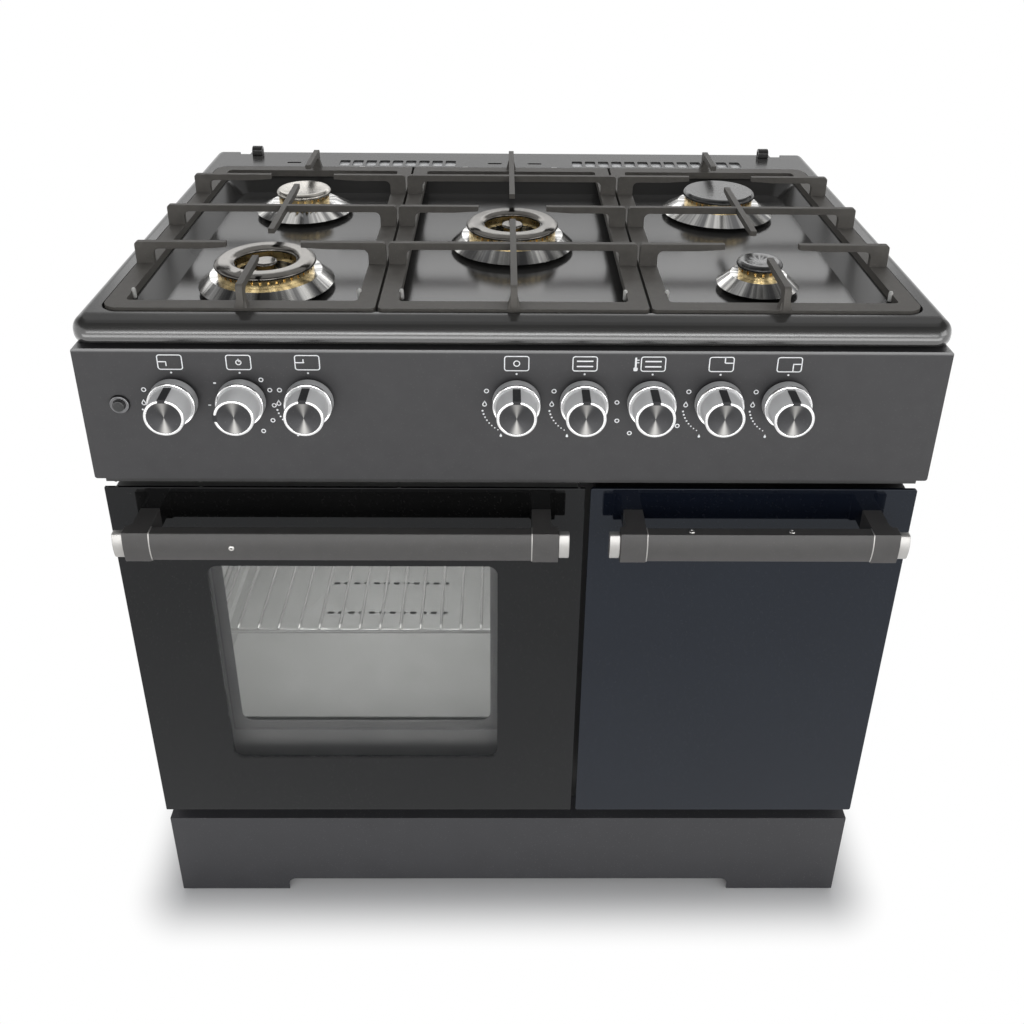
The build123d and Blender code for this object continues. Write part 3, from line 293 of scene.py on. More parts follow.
# every plain finish: a grain from dark to light, dust, an uneven gloss and a fine bump
def makeFinish(name, look):
    finish = bpy.data.materials.new(name)
    finish.use_nodes = True
    tree = finish.node_tree
    shader = tree.nodes["Principled BSDF"]
    coords = tree.nodes.new("ShaderNodeTexCoord")
    mapping = tree.nodes.new("ShaderNodeMapping")
    mapping.inputs["Scale"].default_value = look.get("stretch", (1, 1, 1))
    tree.links.new(coords.outputs["Object"], mapping.inputs["Vector"])
    grain = placeGroup(tree, surfaceGrain, mapping.outputs["Vector"], Scale=look["grain"])
    colour = mixColours(tree, grain.outputs["Mask"], look["dark"], look["light"])
    dust = placeGroup(tree, dustSpecks, coords.outputs["Object"], Amount=look.get("dust", 0.1))
    colour = mixColours(tree, dust.outputs["Mask"], colour, look.get("dustColour", (0.4, 0.39, 0.37)))
    tree.links.new(colour, shader.inputs["Base Color"])
    gloss = addRamp(tree, grain.outputs["Mask"], toMin=look["rough"][0], toMax=look["rough"][1])
    tree.links.new(gloss, shader.inputs["Roughness"])
    bump = tree.nodes.new("ShaderNodeBump")
    bump.inputs["Strength"].default_value = look.get("bump", 0.1)
    bump.inputs["Distance"].default_value = grainLook["bumpDepth"] * mm
    tree.links.new(grain.outputs["Height"], bump.inputs["Height"])
    tree.links.new(bump.outputs["Normal"], shader.inputs["Normal"])
    shader.inputs["Metallic"].default_value = look.get("metal", 0)
    shader.inputs["Specular IOR Level"].default_value = look.get("shine", 0.5)
    shader.inputs["Specular Tint"].default_value = (*look.get("glossTint", (1, 1, 1)), 1)
    shader.inputs["Coat Weight"].default_value = look.get("coat", 0)
    shader.inputs["Coat Roughness"].default_value = look.get("coatRough", 0.1)
    shader.inputs["Coat IOR"].default_value = look.get("coatIndex", 1.5)
    shader.inputs["Alpha"].default_value = look.get("alpha", 1)
    return finish


# colour, gloss and grain of each finish, where a value left out is the usual one in makeFinish
looks = {
    "hobEnamel": dict(dark=(0.028, 0.0275, 0.027), light=(0.04, 0.039, 0.037), rough=(0.16, 0.22), grain=9,
                      bump=0.004, dust=0, shine=0.32, coatRough=0.24, coatIndex=1.9),
    "panelPaint": dict(dark=(0.036, 0.0355, 0.037), light=(0.051, 0.05, 0.052), rough=(0.46, 0.56), grain=60,
                       bump=0.08, dust=0.1, shine=0.32, coatRough=0.24, coatIndex=1.9),
    "plinthPaint": dict(dark=(0.028, 0.028, 0.031), light=(0.043, 0.043, 0.047), rough=(0.34, 0.5), grain=25,
                        bump=0.06, dust=0.2, shine=0.34),
    "sidePaint": dict(dark=(0.03, 0.03, 0.032), light=(0.045, 0.045, 0.047), rough=(0.35, 0.5), grain=18,
                      bump=0.06, dust=0.15),
    "frameSteel": dict(dark=(0.012, 0.012, 0.012), light=(0.03, 0.03, 0.03), rough=(0.35, 0.55), grain=20,
                       dust=0.15),
    "zincSheet": dict(dark=(0.42, 0.43, 0.44), light=(0.62, 0.63, 0.64), rough=(0.3, 0.5), grain=45, metal=1,
                      bump=0.05),
    "grateIron": dict(dark=(0.085, 0.08, 0.073), light=(0.14, 0.132, 0.12), rough=(0.45, 0.6), grain=90,
                      bump=0.4, dust=0.2, shine=0.2),
    "cupMetal": dict(dark=(0.3, 0.29, 0.28), light=(0.6, 0.59, 0.57), rough=(0.14, 0.3), grain=40, metal=1,
                     bump=0.03, dust=0.3, dustColour=(0.1, 0.08, 0.06)),
    "portBrass": dict(dark=(0.58, 0.42, 0.19), light=(1, 0.82, 0.46), rough=(0.2, 0.36), grain=140, metal=1,
                      bump=0.1),
    "capGrey": dict(dark=(0.06, 0.055, 0.05), light=(0.22, 0.21, 0.195), rough=(0.12, 0.26), grain=35,
                    metal=1, dust=0.2, dustColour=(0.05, 0.045, 0.04)),
    "capSteel": dict(dark=(0.24, 0.225, 0.2), light=(0.56, 0.54, 0.5), rough=(0.16, 0.34), grain=60, metal=1,
                     dust=0.2, dustColour=(0.1, 0.08, 0.06)),
    "capBlack": dict(dark=(0.012, 0.012, 0.012), light=(0.035, 0.034, 0.033), rough=(0.2, 0.36), grain=50,
                     coat=0.3, dust=0.2),
    "plugGlaze": dict(dark=(0.02, 0.02, 0.02), light=(0.05, 0.048, 0.045), rough=(0.25, 0.4), grain=80),
    "blackGlass": dict(dark=(0.003, 0.004, 0.008), light=(0.006, 0.008, 0.013), rough=(0.03, 0.06), grain=8,
                       bump=0.002, dust=0.06, shine=0.36, glossTint=(0.8, 0.88, 1)),
    "panEnamel": dict(dark=(0.28, 0.28, 0.275), light=(0.36, 0.358, 0.35), rough=(0.35, 0.5), grain=25),
    "blackBorder": dict(dark=(0.003, 0.003, 0.003), light=(0.007, 0.007, 0.007), rough=(0.03, 0.06), grain=8,
                        bump=0.002, dust=0.06, shine=0.28, glossTint=(0.94, 0.965, 1)),
    "ovenEnamel": dict(dark=(0.6, 0.605, 0.59), light=(0.74, 0.745, 0.73), rough=(0.3, 0.45), grain=25,
                       bump=0.05, dust=0.2),
    "sealRubber": dict(dark=(0.04, 0.04, 0.04), light=(0.075, 0.075, 0.074), rough=(0.6, 0.75), grain=80),
    "rackChrome": dict(dark=(0.36, 0.36, 0.35), light=(0.46, 0.46, 0.45), rough=(0.3, 0.42), grain=90),
    "handlePaint": dict(dark=(0.05, 0.048, 0.047), light=(0.072, 0.069, 0.067), rough=(0.36, 0.48), grain=70,
                        bump=0.05, dust=0.1, shine=0.4),
    "capSilver": dict(dark=(0.38, 0.37, 0.355), light=(0.5, 0.49, 0.475), rough=(0.3, 0.42), grain=60,
                      metal=0.7),
    "knobSilver": dict(dark=(0.56, 0.56, 0.562), light=(0.72, 0.72, 0.722), rough=(0.42, 0.55), grain=60,
                       metal=0.2, stretch=(1, 0.1, 1)),
    "knobBright": dict(dark=(0.8, 0.8, 0.8), light=(0.92, 0.92, 0.92), rough=(0.12, 0.2), grain=60, metal=1),
    "knobInsert": dict(dark=(0.03, 0.03, 0.032), light=(0.045, 0.045, 0.047), rough=(0.6, 0.7), grain=60,
                       shine=0.2),
    "spindleSteel": dict(dark=(0.5, 0.5, 0.5), light=(0.7, 0.7, 0.7), rough=(0.25, 0.4), grain=60, metal=1),
    "tapBrass": dict(dark=(0.5, 0.36, 0.18), light=(0.72, 0.56, 0.32), rough=(0.35, 0.5), grain=60, metal=1),
    "pipeMetal": dict(dark=(0.55, 0.55, 0.55), light=(0.75, 0.75, 0.75), rough=(0.3, 0.45), grain=40,
                      metal=1),
    "switchPlastic": dict(dark=(0.72, 0.71, 0.66), light=(0.82, 0.81, 0.77), rough=(0.4, 0.55), grain=40),
    "bezelChrome": dict(dark=(0.06, 0.06, 0.062), light=(0.3, 0.3, 0.305), rough=(0.06, 0.14), grain=220,
                        metal=1),
    "buttonPlastic": dict(dark=(0.02, 0.02, 0.02), light=(0.04, 0.04, 0.04), rough=(0.12, 0.2), grain=50),
    "footPlastic": dict(dark=(0.03, 0.03, 0.03), light=(0.05, 0.05, 0.05), rough=(0.5, 0.65), grain=50),
    "whiteInk": dict(dark=(0.78, 0.79, 0.8), light=(0.92, 0.93, 0.94), rough=(0.4, 0.55), grain=150),
    "screwSteel": dict(dark=(0.45, 0.44, 0.42), light=(0.75, 0.74, 0.72), rough=(0.2, 0.35), grain=90,
                       metal=1),
    "padRubber": dict(dark=(0.5, 0.5, 0.48), light=(0.72, 0.71, 0.68), rough=(0.5, 0.65), grain=90, bump=0.1),
    "palePlate": dict(dark=(0.62, 0.63, 0.63), light=(0.8, 0.8, 0.8), rough=(0.35, 0.5), grain=60),
    "lampGlass": dict(dark=(0.8, 0.8, 0.76), light=(0.92, 0.92, 0.88), rough=(0.05, 0.12), grain=40,
                      alpha=0.6),
}
finishes = {name: makeFinish(name, look) for name, look in looks.items()}
print("finishes made:", len(finishes))


# clear panes let light through by alpha, more mirror-like at a slant
paneLook = dict(rough=(0.02, 0.05), grain=12, bump=0.002, dust=0.05, steepness=5)
panes = {"windowPane": dict(tint=(0.03, 0.031, 0.033), clear=0.2, slanted=1),
         "innerPane": dict(tint=(0.1, 0.11, 0.11), clear=0.08, slanted=0.8)}
for name, look in panes.items():
    finishes[name] = makeFinish(name, dict(paneLook, dark=look["tint"], light=look["tint"]))
    tree = finishes[name].node_tree
    slant = tree.nodes.new("ShaderNodeLayerWeight")
    steep = addMath(tree, "POWER", slant.outputs["Facing"], paneLook["steepness"])
    veil = addRamp(tree, steep, toMin=look["clear"], toMax=look["slanted"])
    tree.links.new(veil, tree.nodes["Principled BSDF"].inputs["Alpha"])
print("panes made:", len(panes))

# finish and material slot of each node
nodeFinish = {
    "hob_top": "hobEnamel", "control_panel": "panelPaint", "plinth": "plinthPaint",
    "face_frame": "frameSteel", "left_side_panel": "sidePaint", "right_side_panel": "sidePaint",
    "lid_hinge_blocks": "hobEnamel",
    "back_panel": "zincSheet", "base_tray": "zincSheet", "divider_wall": "zincSheet",
    "grate_left": "grateIron", "grate_centre": "grateIron", "grate_right": "grateIron",
    "burner_cups": "cupMetal", "burner_rings": "portBrass", "burner_caps": "capGrey",
    "spark_plugs": "plugGlaze", "oven_door_glass": "blackBorder", "bottle_door_glass": "blackGlass",
    "oven_door_inner_glass": "innerPane", "oven_door_pan": "panEnamel", "bottle_door_pan": "frameSteel",
    "oven_liner": "ovenEnamel", "oven_floor_plate": "ovenEnamel", "oven_rack": "rackChrome",
    "oven_door_seal": "sealRubber", "oven_burner": "pipeMetal", "grill_burner": "pipeMetal",
    "oven_lamp": "lampGlass", "oven_handle_bar": "handlePaint", "bottle_handle_bar": "handlePaint",
    "oven_handle_brackets": "handlePaint", "bottle_handle_brackets": "handlePaint",
    "oven_handle_caps": "capSilver", "bottle_handle_caps": "capSilver", "oven_door_hinges": "zincSheet",
    "bottle_door_hinges": "zincSheet", "button_bezel": "bezelChrome", "ignition_button": "buttonPlastic",
    "gas_rail": "pipeMetal", "gas_pipes": "pipeMetal", "gas_taps": "tapBrass",
    "switch_bodies": "switchPlastic", "levelling_feet": "footPlastic",
}
slots = {entry["node"]: entry["material_slot"] for entry in frame["record"]["subparts"]}
bodyOf = {node: body for body, members in frame["record"]["behaviour"]["bodies"].items() for node in members}
for node, piece in cad.items():
    kind = "spindleSteel" if node.endswith("spindle") else "knobSilver" if node.endswith("knob") else None
    piece.data.materials.clear()
    piece.data.materials.append(finishes[kind or nodeFinish[node]])
    for face in piece.data.polygons:
        face.material_index = 0
print("nodes painted")

# softened copies stand for the nodes that show, with the width of their worn edges in mm
softEdges = {
    "control_panel": 1.8, "plinth": 0.5, "face_frame": 0.4, "left_side_panel": 0.4, "right_side_panel": 0.4,
    "lid_hinge_blocks": 1.2, "grate_left": 1.2, "grate_centre": 1.2, "grate_right": 1.2,
    "burner_rings": 0.25, "bottle_door_glass": 0.7, "oven_handle_bar": 1, "bottle_handle_bar": 1,
    "oven_handle_brackets": 1.2, "bottle_handle_brackets": 1.2, "oven_handle_caps": 1.5,
    "bottle_handle_caps": 1.5, "button_bezel": 0.6, "ignition_button": 0.8, "oven_door_pan": 0.4,
    "bottle_door_pan": 0.4, "oven_liner": 0.5, "oven_rack": 0, "oven_floor_plate": 0, "oven_lamp": 0.4,
    "spark_plugs": 0.3, "levelling_feet": 0.5, "gas_rail": 0, "gas_taps": 0, "oven_burner": 0,
    "grill_burner": 0,
}
for node, width in softEdges.items():
    piece = softCopy(node, camelName(node + "_front" if node == "plinth" else node), width)
    seat(piece, bodyOf[node], finishes[nodeFinish[node]], slots[node], node)
print("softened copies:", len(softEdges))

# the rack's front rail is bright metal, its rods are dull
rackRail = dict(bright=(0.97, 0.97, 0.95), rough=0.32, deep=8, fade=4)
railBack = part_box("oven_rack")[0].y + rackRail["deep"] * mm
tree = finishes["rackChrome"].node_tree
shader = tree.nodes["Principled BSDF"]
axes = tree.nodes.new("ShaderNodeSeparateXYZ")
tree.links.new(tree.nodes["Texture Coordinate"].outputs["Object"], axes.inputs[0])
onRail = addRamp(tree, axes.outputs["Y"], railBack + rackRail["fade"] * mm, railBack)
plain = shader.inputs["Base Color"].links[0].from_socket
tree.links.new(mixColours(tree, onRail, plain, rackRail["bright"]), shader.inputs["Base Color"])
tree.links.new(onRail, shader.inputs["Metallic"])
polish = tree.nodes.new("ShaderNodeMix")
tree.links.new(onRail, polish.inputs["Factor"])
tree.links.new(shader.inputs["Roughness"].links[0].from_socket, polish.inputs["A"])
polish.inputs["B"].default_value = rackRail["rough"]
tree.links.new(polish.outputs["Result"], shader.inputs["Roughness"])
print("rack rail polished")


# hob top, with vents that run further front to back than the solids' slots
vents = dict(middle=277, wide=15.2, deep=27, low=860.5, high=868, corner=2.5, pitch=19.6,
             rows={"Left": (-168, 9), "Right": (216, 13)})
hob = softCopy("hob_top", "hobTop", 0)
lowCorner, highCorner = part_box("hob_top")
ventFront, ventBack = vents["middle"] - vents["deep"] / 2, vents["middle"] + vents["deep"] / 2
cutters = []
for middle, count in vents["rows"].values():
    for number in range(count):
        x = middle + (number - (count - 1) / 2) * vents["pitch"]
        low = (x - vents["wide"] / 2, ventFront, vents["low"])
        high = (x + vents["wide"] / 2, ventBack, vents["high"])
        cutters.append(block("ventCutter", low, high, vents["corner"]))
cutter = joinPieces(cutters, "ventCutter")
finishWith(hob, "BOOLEAN", object=cutter, operation="DIFFERENCE", solver="EXACT")
bpy.data.objects.remove(cutter)
print("vents cut")

# its front strip is crowned and the lower half of its skirt rolled under, so that the nose is fully round
nose = dict(bend=853, bottom=838, corner=20, steps=7, fullRoll=-286, noRoll=-270, cutBack=-255, cutTop=864,
            edge=0.4, topLayer=0.5, crownDrop=4, crownPower=1.6, crownBack=-261.5,
            crownCuts=(-261.5, -265, -269, -273))
for place in nose["crownCuts"]:
    selectFaces(hob, lambda c, n: n.z > 0.5 and c.z > highCorner.z - nose["topLayer"] * mm)
    bpy.ops.mesh.bisect(plane_co=(0, place * mm, 0), plane_no=(0, 1, 0))
    bpy.ops.object.mode_set(mode="OBJECT")
skirt = nose["bend"] - nose["bottom"]
for point in hob.data.vertices:
    ahead = (nose["crownBack"] - point.co.y / mm) / (nose["crownBack"] - lowCorner.y / mm)
    if ahead > 0:
        upper = min(max((point.co.z / mm - nose["bottom"]) / skirt, 0), 1)
        point.co.z -= nose["crownDrop"] * mm * ahead ** nose["crownPower"] * upper
rollTop = (nose["bend"] - nose["crownDrop"]) * mm
roll = (nose["bend"] - nose["crownDrop"] - nose["bottom"]) * mm
for step in range(1, nose["steps"]):
    selectFaces(hob, lambda c, n: c.y < nose["cutBack"] * mm and c.z < nose["cutTop"] * mm)
    bpy.ops.mesh.bisect(plane_co=(0, 0, rollTop - roll * step / nose["steps"]), plane_no=(0, 0, 1))
    bpy.ops.object.mode_set(mode="OBJECT")
corner = nose["corner"] * mm
for point in hob.data.vertices:
    drop = rollTop - point.co.z
    share = (nose["noRoll"] * mm - point.co.y) / ((nose["noRoll"] - nose["fullRoll"]) * mm)
    if drop > 0 and share > 0:
        across = min(max(point.co.x, lowCorner.x + corner), highCorner.x - corner) - point.co.x
        inward = Vector((across, lowCorner.y + corner - point.co.y, 0)).normalized()
        point.co += inward * (roll - math.sqrt(max(roll * roll - drop * drop, 0))) * min(share, 1)
soften(hob, nose["edge"])
seat(hob, "cooker", finishes["hobEnamel"], slots["hob_top"], "hob_top")
print("hob nose rolled")


# a harder gloss in a band of a finish, given as (axis, where it ends, where it is full) in mm
glossBands = {"hobEnamel": [("Y", -266, -272), ("Z", 861, 857)], "panelPaint": [("Z", 832, 834)]}
for name, limits in glossBands.items():
    tree = finishes[name].node_tree
    axes = tree.nodes.new("ShaderNodeSeparateXYZ")
    tree.links.new(tree.nodes["Texture Coordinate"].outputs["Object"], axes.inputs[0])
    band = 1
    for axis, clear, full in limits:
        band = addMath(tree, "MULTIPLY", band, addRamp(tree, axes.outputs[axis], clear * mm, full * mm))
    tree.links.new(band, tree.nodes["Principled BSDF"].inputs["Coat Weight"])
print("hob nose and panel edge glossed")


# burner cups and caps, split so that each burner has its own finish
capFinish = {"frontLeft": "capGrey", "centre": "capGrey", "rearLeft": "capSteel", "rearRight": "capBlack",
             "frontRight": "capBlack"}
burnerPlaces = {"frontLeft": (-281, -130.5), "centre": (0, -2), "rearLeft": (-281, 126.5),
                "rearRight": (281, 126.5), "frontRight": (281, -130.5)}
burnerShape = dict(cupEdge=0.8, capEdge=1.4, innerCapUnder=40)
# colours and sharpness of the cups' painted reflections, dark and bright streaks in the base colour
cupLook = dict(streaks=20, detail=3, dark=(0.16, 0.16, 0.162), light=(0.84, 0.83, 0.8), fromDark=0.4,
               toLight=0.66)


# polished metal with painted reflections: dark and bright streaks painted into the colour, running out from
# the burner's axis, stand in for the chrome's reflections
def makePaintedReflections(name, x, y):
    finish = makeFinish(name, looks["cupMetal"])
    tree = finish.node_tree
    shader = tree.nodes["Principled BSDF"]
    coords = tree.nodes["Texture Coordinate"]
    centred = tree.nodes.new("ShaderNodeMapping")
    centred.inputs["Location"].default_value = (-x * mm, -y * mm, 0)
    tree.links.new(coords.outputs["Object"], centred.inputs["Vector"])
    wheel = tree.nodes.new("ShaderNodeTexGradient")
    wheel.gradient_type = "RADIAL"
    tree.links.new(centred.outputs["Vector"], wheel.inputs["Vector"])
    paintedReflection = tree.nodes.new("ShaderNodeTexNoise")
    paintedReflection.noise_dimensions = "1D"
    paintedReflection.inputs["Scale"].default_value = cupLook["streaks"]
    paintedReflection.inputs["Detail"].default_value = cupLook["detail"]
    tree.links.new(wheel.outputs["Fac"], paintedReflection.inputs["W"])
    # painted reflection: the streaks pick between a dark and a bright colour
    sharp = addRamp(tree, paintedReflection.outputs["Fac"], cupLook["fromDark"], cupLook["toLight"])
    colour = mixColours(tree, sharp, cupLook["dark"], cupLook["light"])
    tree.links.new(colour, shader.inputs["Base Color"])
    return finish


def splitBurners(node, width):
    whole = softCopy(node, node, width)
    pick(whole)
    bpy.ops.mesh.separate(type="LOOSE")
    found = []
    for piece in list(bpy.context.selected_objects):
        middle = sum((Vector(corner) for corner in piece.bound_box), Vector()) / 8
        spot = (middle.x / mm, middle.y / mm)
        found.append((piece, min(burnerPlaces, key=lambda name: math.dist(burnerPlaces[name], spot))))
    return found


for cup, burner in splitBurners("burner_cups", burnerShape["cupEdge"]):
    cup.name = burner + "Cup"
    seat(cup, "cooker", makePaintedReflections(burner + "CupMetal", *burnerPlaces[burner]), "cup_metal", "burner_cups")
for cap, burner in splitBurners("burner_caps", burnerShape["capEdge"]):
    inner = cap.dimensions.x < burnerShape["innerCapUnder"] * mm
    cap.name = burner + ("InnerCap" if inner else "Cap")
    seat(cap, "cooker", finishes[capFinish[burner]], "cap_enamel", "burner_caps")
print("burners split")


# oven door glass: a black border with a window cut through it, and the clear pane in the window
doorGlass = dict(windowLeft=-347, windowRight=-16, windowLow=257, windowHigh=557, corner=12, cornerSteps=8,
                 edge=0.7, innerEdge=0.4, fit=0.05, near=0.2, inside=80)


def roundWindow(piece):
    left, right = doorGlass["windowLeft"] * mm, doorGlass["windowRight"] * mm
    low, high = doorGlass["windowLow"] * mm, doorGlass["windowHigh"] * mm

    def windowCorner(a, b):
        middle = (a + b) / 2
        across = min(abs(middle.x - left), abs(middle.x - right))
        up = min(abs(middle.z - low), abs(middle.z - high))
        return abs(a.y - b.y) > mm and max(across, up) < doorGlass["near"] * mm

    selectEdges(piece, windowCorner)
    bpy.ops.mesh.bevel(offset=doorGlass["corner"] * mm, segments=doorGlass["cornerSteps"])
    bpy.ops.object.mode_set(mode="OBJECT")


lowCorner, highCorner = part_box("oven_door_glass")
border = block("ovenGlassBorder", lowCorner / mm, highCorner / mm, doorGlass["edge"])
cuts = [((doorGlass["windowLeft"], 0, 0), (1, 0, 0)), ((doorGlass["windowRight"], 0, 0), (1, 0, 0)),
        ((0, 0, doorGlass["windowLow"]), (0, 0, 1)), ((0, 0, doorGlass["windowHigh"]), (0, 0, 1))]
for point, normal in cuts:
    editAll(border)
    bpy.ops.mesh.bisect(plane_co=[c * mm for c in point], plane_no=normal)
windowMiddle = Vector(((doorGlass["windowLeft"] + doorGlass["windowRight"]) / 2, 0,
                       (doorGlass["windowLow"] + doorGlass["windowHigh"]) / 2)) * mm
selectFaces(border, lambda c, n: abs(n.y) > 0.9 and abs(c.x - windowMiddle.x) < doorGlass["inside"] * mm
            and abs(c.z - windowMiddle.z) < doorGlass["inside"] * mm)
bpy.ops.mesh.bridge_edge_loops()
bpy.ops.object.mode_set(mode="OBJECT")
roundWindow(border)
smooth(border)
finishWith(border, "WEIGHTED_NORMAL", keep_sharp=True, weight=meshCare["normalWeight"])
seat(border, "oven_door", finishes["blackBorder"], "window_glass", "oven_door_glass")

fit = doorGlass["fit"]
paneLow = (doorGlass["windowLeft"] + fit, lowCorner.y / mm + fit, doorGlass["windowLow"] + fit)
paneHigh = (doorGlass["windowRight"] - fit, highCorner.y / mm - fit, doorGlass["windowHigh"] - fit)
pane = block("ovenWindowPane", paneLow, paneHigh, 0)
roundWindow(pane)
smooth(pane)
seat(pane, "oven_door", finishes["windowPane"], "window_glass")
innerPane = softCopy("oven_door_inner_glass", "ovenInnerPane", doorGlass["innerEdge"])
seat(innerPane, "oven_door", finishes["innerPane"], "inner_pane", "oven_door_inner_glass")
print("oven door glazed")


# knobs: a silver grip on a collar, bright rings, a dark dished face and a pointer let into the top
knob = dict(height=779, back=-292.8, collarRadius=25, collarFront=-305.8, gripRoot=21.5, gripTip=20.5,
            front=-331, rimInner=17.4, dish=1.5, pointerWide=8.2, pointerDeep=3.6, pointerProud=0.6,
            pointerEdge=0.4, pointerAhead=0.02, pointerRoot=1, pointerBend=1.6)
knobPlaces = {"front_left": -351, "timer": -281, "rear_left": -211, "centre": 3, "oven": 73, "selector": 143,
              "rear_right": 213, "front_right": 283}
knobTurns = {"timer": -90}

back, front, rim = knob["back"], knob["front"], knob["rimInner"]
collar, collarFront, root, tip = knob["collarRadius"], knob["collarFront"], knob["gripRoot"], knob["gripTip"]
grip = spinPiece("knobGrip", [
    (0, back), (collar - 0.8, back), (collar, back - 0.8), (collar, collarFront + 2),
    (collar - 1.6, collarFront + 1), (root + 1.2, collarFront + 0.4), (root + 0.3, collarFront - 0.2),
    (root, collarFront - 1.2), (tip, front + 1.2), (tip - 0.4, front + 0.5), (tip - 1, front + 0.3),
    (rim, front + 0.6), (0, front + knob["dish"] + 0.8)], "Y")
collarRing = spinPiece("knobCollarRing", [
    (collar - 2.4, collarFront + 1.2), (collar, collarFront + 2.6), (collar, collarFront + 1.1),
    (collar - 0.5, collarFront + 0.3), (collar - 1.2, collarFront), (collar - 2.4, collarFront + 0.2),
    (collar - 2.4, collarFront + 1.2)], "Y")
faceRim = spinPiece("knobFaceRim", [
    (rim, front + 1), (tip - 0.5, front + 0.9), (tip - 0.3, front + 0.5), (tip - 0.8, front + 0.1),
    (tip - 1.4, front), (rim + 0.4, front + 0.1), (rim, front + 0.5), (rim, front + 1)], "Y")
dish = spinPiece("knobDish", [
    (rim + 0.2, front + 0.9), (rim + 0.2, front + 0.35), (rim * 0.6, front + knob["dish"] * 0.6),
    (rim * 0.25, front + knob["dish"] * 0.95), (0, front + knob["dish"]), (0, front + knob["dish"] + 0.7),
    (rim + 0.2, front + 0.9)], "Y")
faceMap = dish.data.uv_layers.new(name="faceMap")
for loop in dish.data.loops:
    point = dish.data.vertices[loop.vertex_index].co
    faceMap.data[loop.index].uv = (0.5 + point.x / (2 * rim * mm), 0.5 + point.z / (2 * rim * mm))

# spun metal: dark, with a painted highlight, a fan of light painted into the colour upwards and downwards
# from the middle
# the dark spun face, and the colour of the highlight painted on it
faceLook = dict(dark=(0.04, 0.04, 0.042), fan=(0.3, 0.295, 0.285), narrow=24, rough=(0.26, 0.36),
                grain=60, metal=1, light=(0.06, 0.06, 0.062), bump=0)
spunFace = makeFinish("knobFace", faceLook)
tree = spunFace.node_tree
shader = tree.nodes["Principled BSDF"]
onFace = tree.nodes.new("ShaderNodeUVMap")
onFace.uv_map = "faceMap"
centred = tree.nodes.new("ShaderNodeMapping")
centred.inputs["Location"].default_value = (-0.5, -0.5, 0)
tree.links.new(onFace.outputs["UV"], centred.inputs["Vector"])
around = tree.nodes.new("ShaderNodeTexGradient")
around.gradient_type = "RADIAL"
tree.links.new(centred.outputs["Vector"], around.inputs["Vector"])
# painted highlight: lighter colour in a narrow fan at the top and bottom of the face, by angle round its
# middle
wave = addMath(tree, "SINE", addMath(tree, "MULTIPLY", around.outputs["Fac"], math.tau))
fan = addMath(tree, "POWER", addMath(tree, "ABSOLUTE", wave), faceLook["narrow"])
plain = shader.inputs["Base Color"].links[0].from_socket
tree.links.new(mixColours(tree, fan, plain, faceLook["fan"]), shader.inputs["Base Color"])
finishes["knobFace"] = spunFace

half = knob["pointerWide"] / 2
low = (-half, front - knob["pointerAhead"], tip - knob["pointerDeep"])
high = (half, collarFront - knob["pointerRoot"], tip + knob["pointerProud"])
insert = block("knobInsert", low, high, knob["pointerEdge"])
selectFaces(insert, lambda c, n: c.y > (collarFront - knob["pointerBend"]) * mm)
bpy.ops.transform.translate(value=(0, 0, (root - tip) * mm))
bpy.ops.object.mode_set(mode="OBJECT")
knobParts = [(grip, "Grip", "knobSilver"), (collarRing, "CollarRing", "knobBright"),
             (faceRim, "FaceRim", "knobBright"), (dish, "Dish", "knobFace"), (insert, "Insert", "knobInsert")]
for place, x in knobPlaces.items():
    node = place + "_knob"
    for master, part, finishName in knobParts:
        turned = knobTurns.get(place, 0) if part == "Insert" else 0
        piece = copyTo(master, camelName(place) + part, (x, 0, knob["height"]), turned)
        seat(piece, bodyOf[node], finishes[finishName], slots[node], *([node] if part == "Grip" else []))
for master, part, finishName in knobParts:
    bpy.data.objects.remove(master)
print("knobs made:", len(knobPlaces))


# white print on the control panel, each mark lifted off the paint by a hair
ink = dict(face=-289, lift=0.08, line=1.1, iconWide=26, iconHigh=17.5, iconCorner=3, iconUp=42,
           dotUp=30, dotRadius=1.1, scaleDrop=6, ringRadius=2.6, cornerSteps=4, roundSteps=16,
           barCorner=0.3, barSteps=2, flameFrom=0.6, flameNarrow=0.3)
printed = []


def inkSheet(x, z, wide, high):
    bpy.ops.mesh.primitive_plane_add(size=1, location=(x * mm, (ink["face"] - ink["lift"]) * mm, z * mm),
                                     rotation=(math.pi / 2, 0, 0))
    piece = bpy.context.object
    piece.scale = (wide * mm, high * mm, 1)
    return applyPlace(piece)


def inkOutline(x, z, wide, high, corner):
    piece = inkSheet(x, z, wide, high)
    editAll(piece)
    bpy.ops.mesh.bevel(offset=corner * mm, segments=ink["cornerSteps"], affect="VERTICES")
    bpy.ops.mesh.select_all(action="SELECT")
    bpy.ops.mesh.inset(thickness=ink["line"] * mm)
    bpy.ops.mesh.delete(type="FACE")
    bpy.ops.object.mode_set(mode="OBJECT")
    printed.append(piece)


def inkBar(x, z, wide, high):
    piece = inkSheet(x, z, wide, high)
    editAll(piece)
    corner = min(wide, high) * ink["barCorner"]
    bpy.ops.mesh.bevel(offset=corner * mm, segments=ink["barSteps"], affect="VERTICES")
    bpy.ops.object.mode_set(mode="OBJECT")
    printed.append(piece)


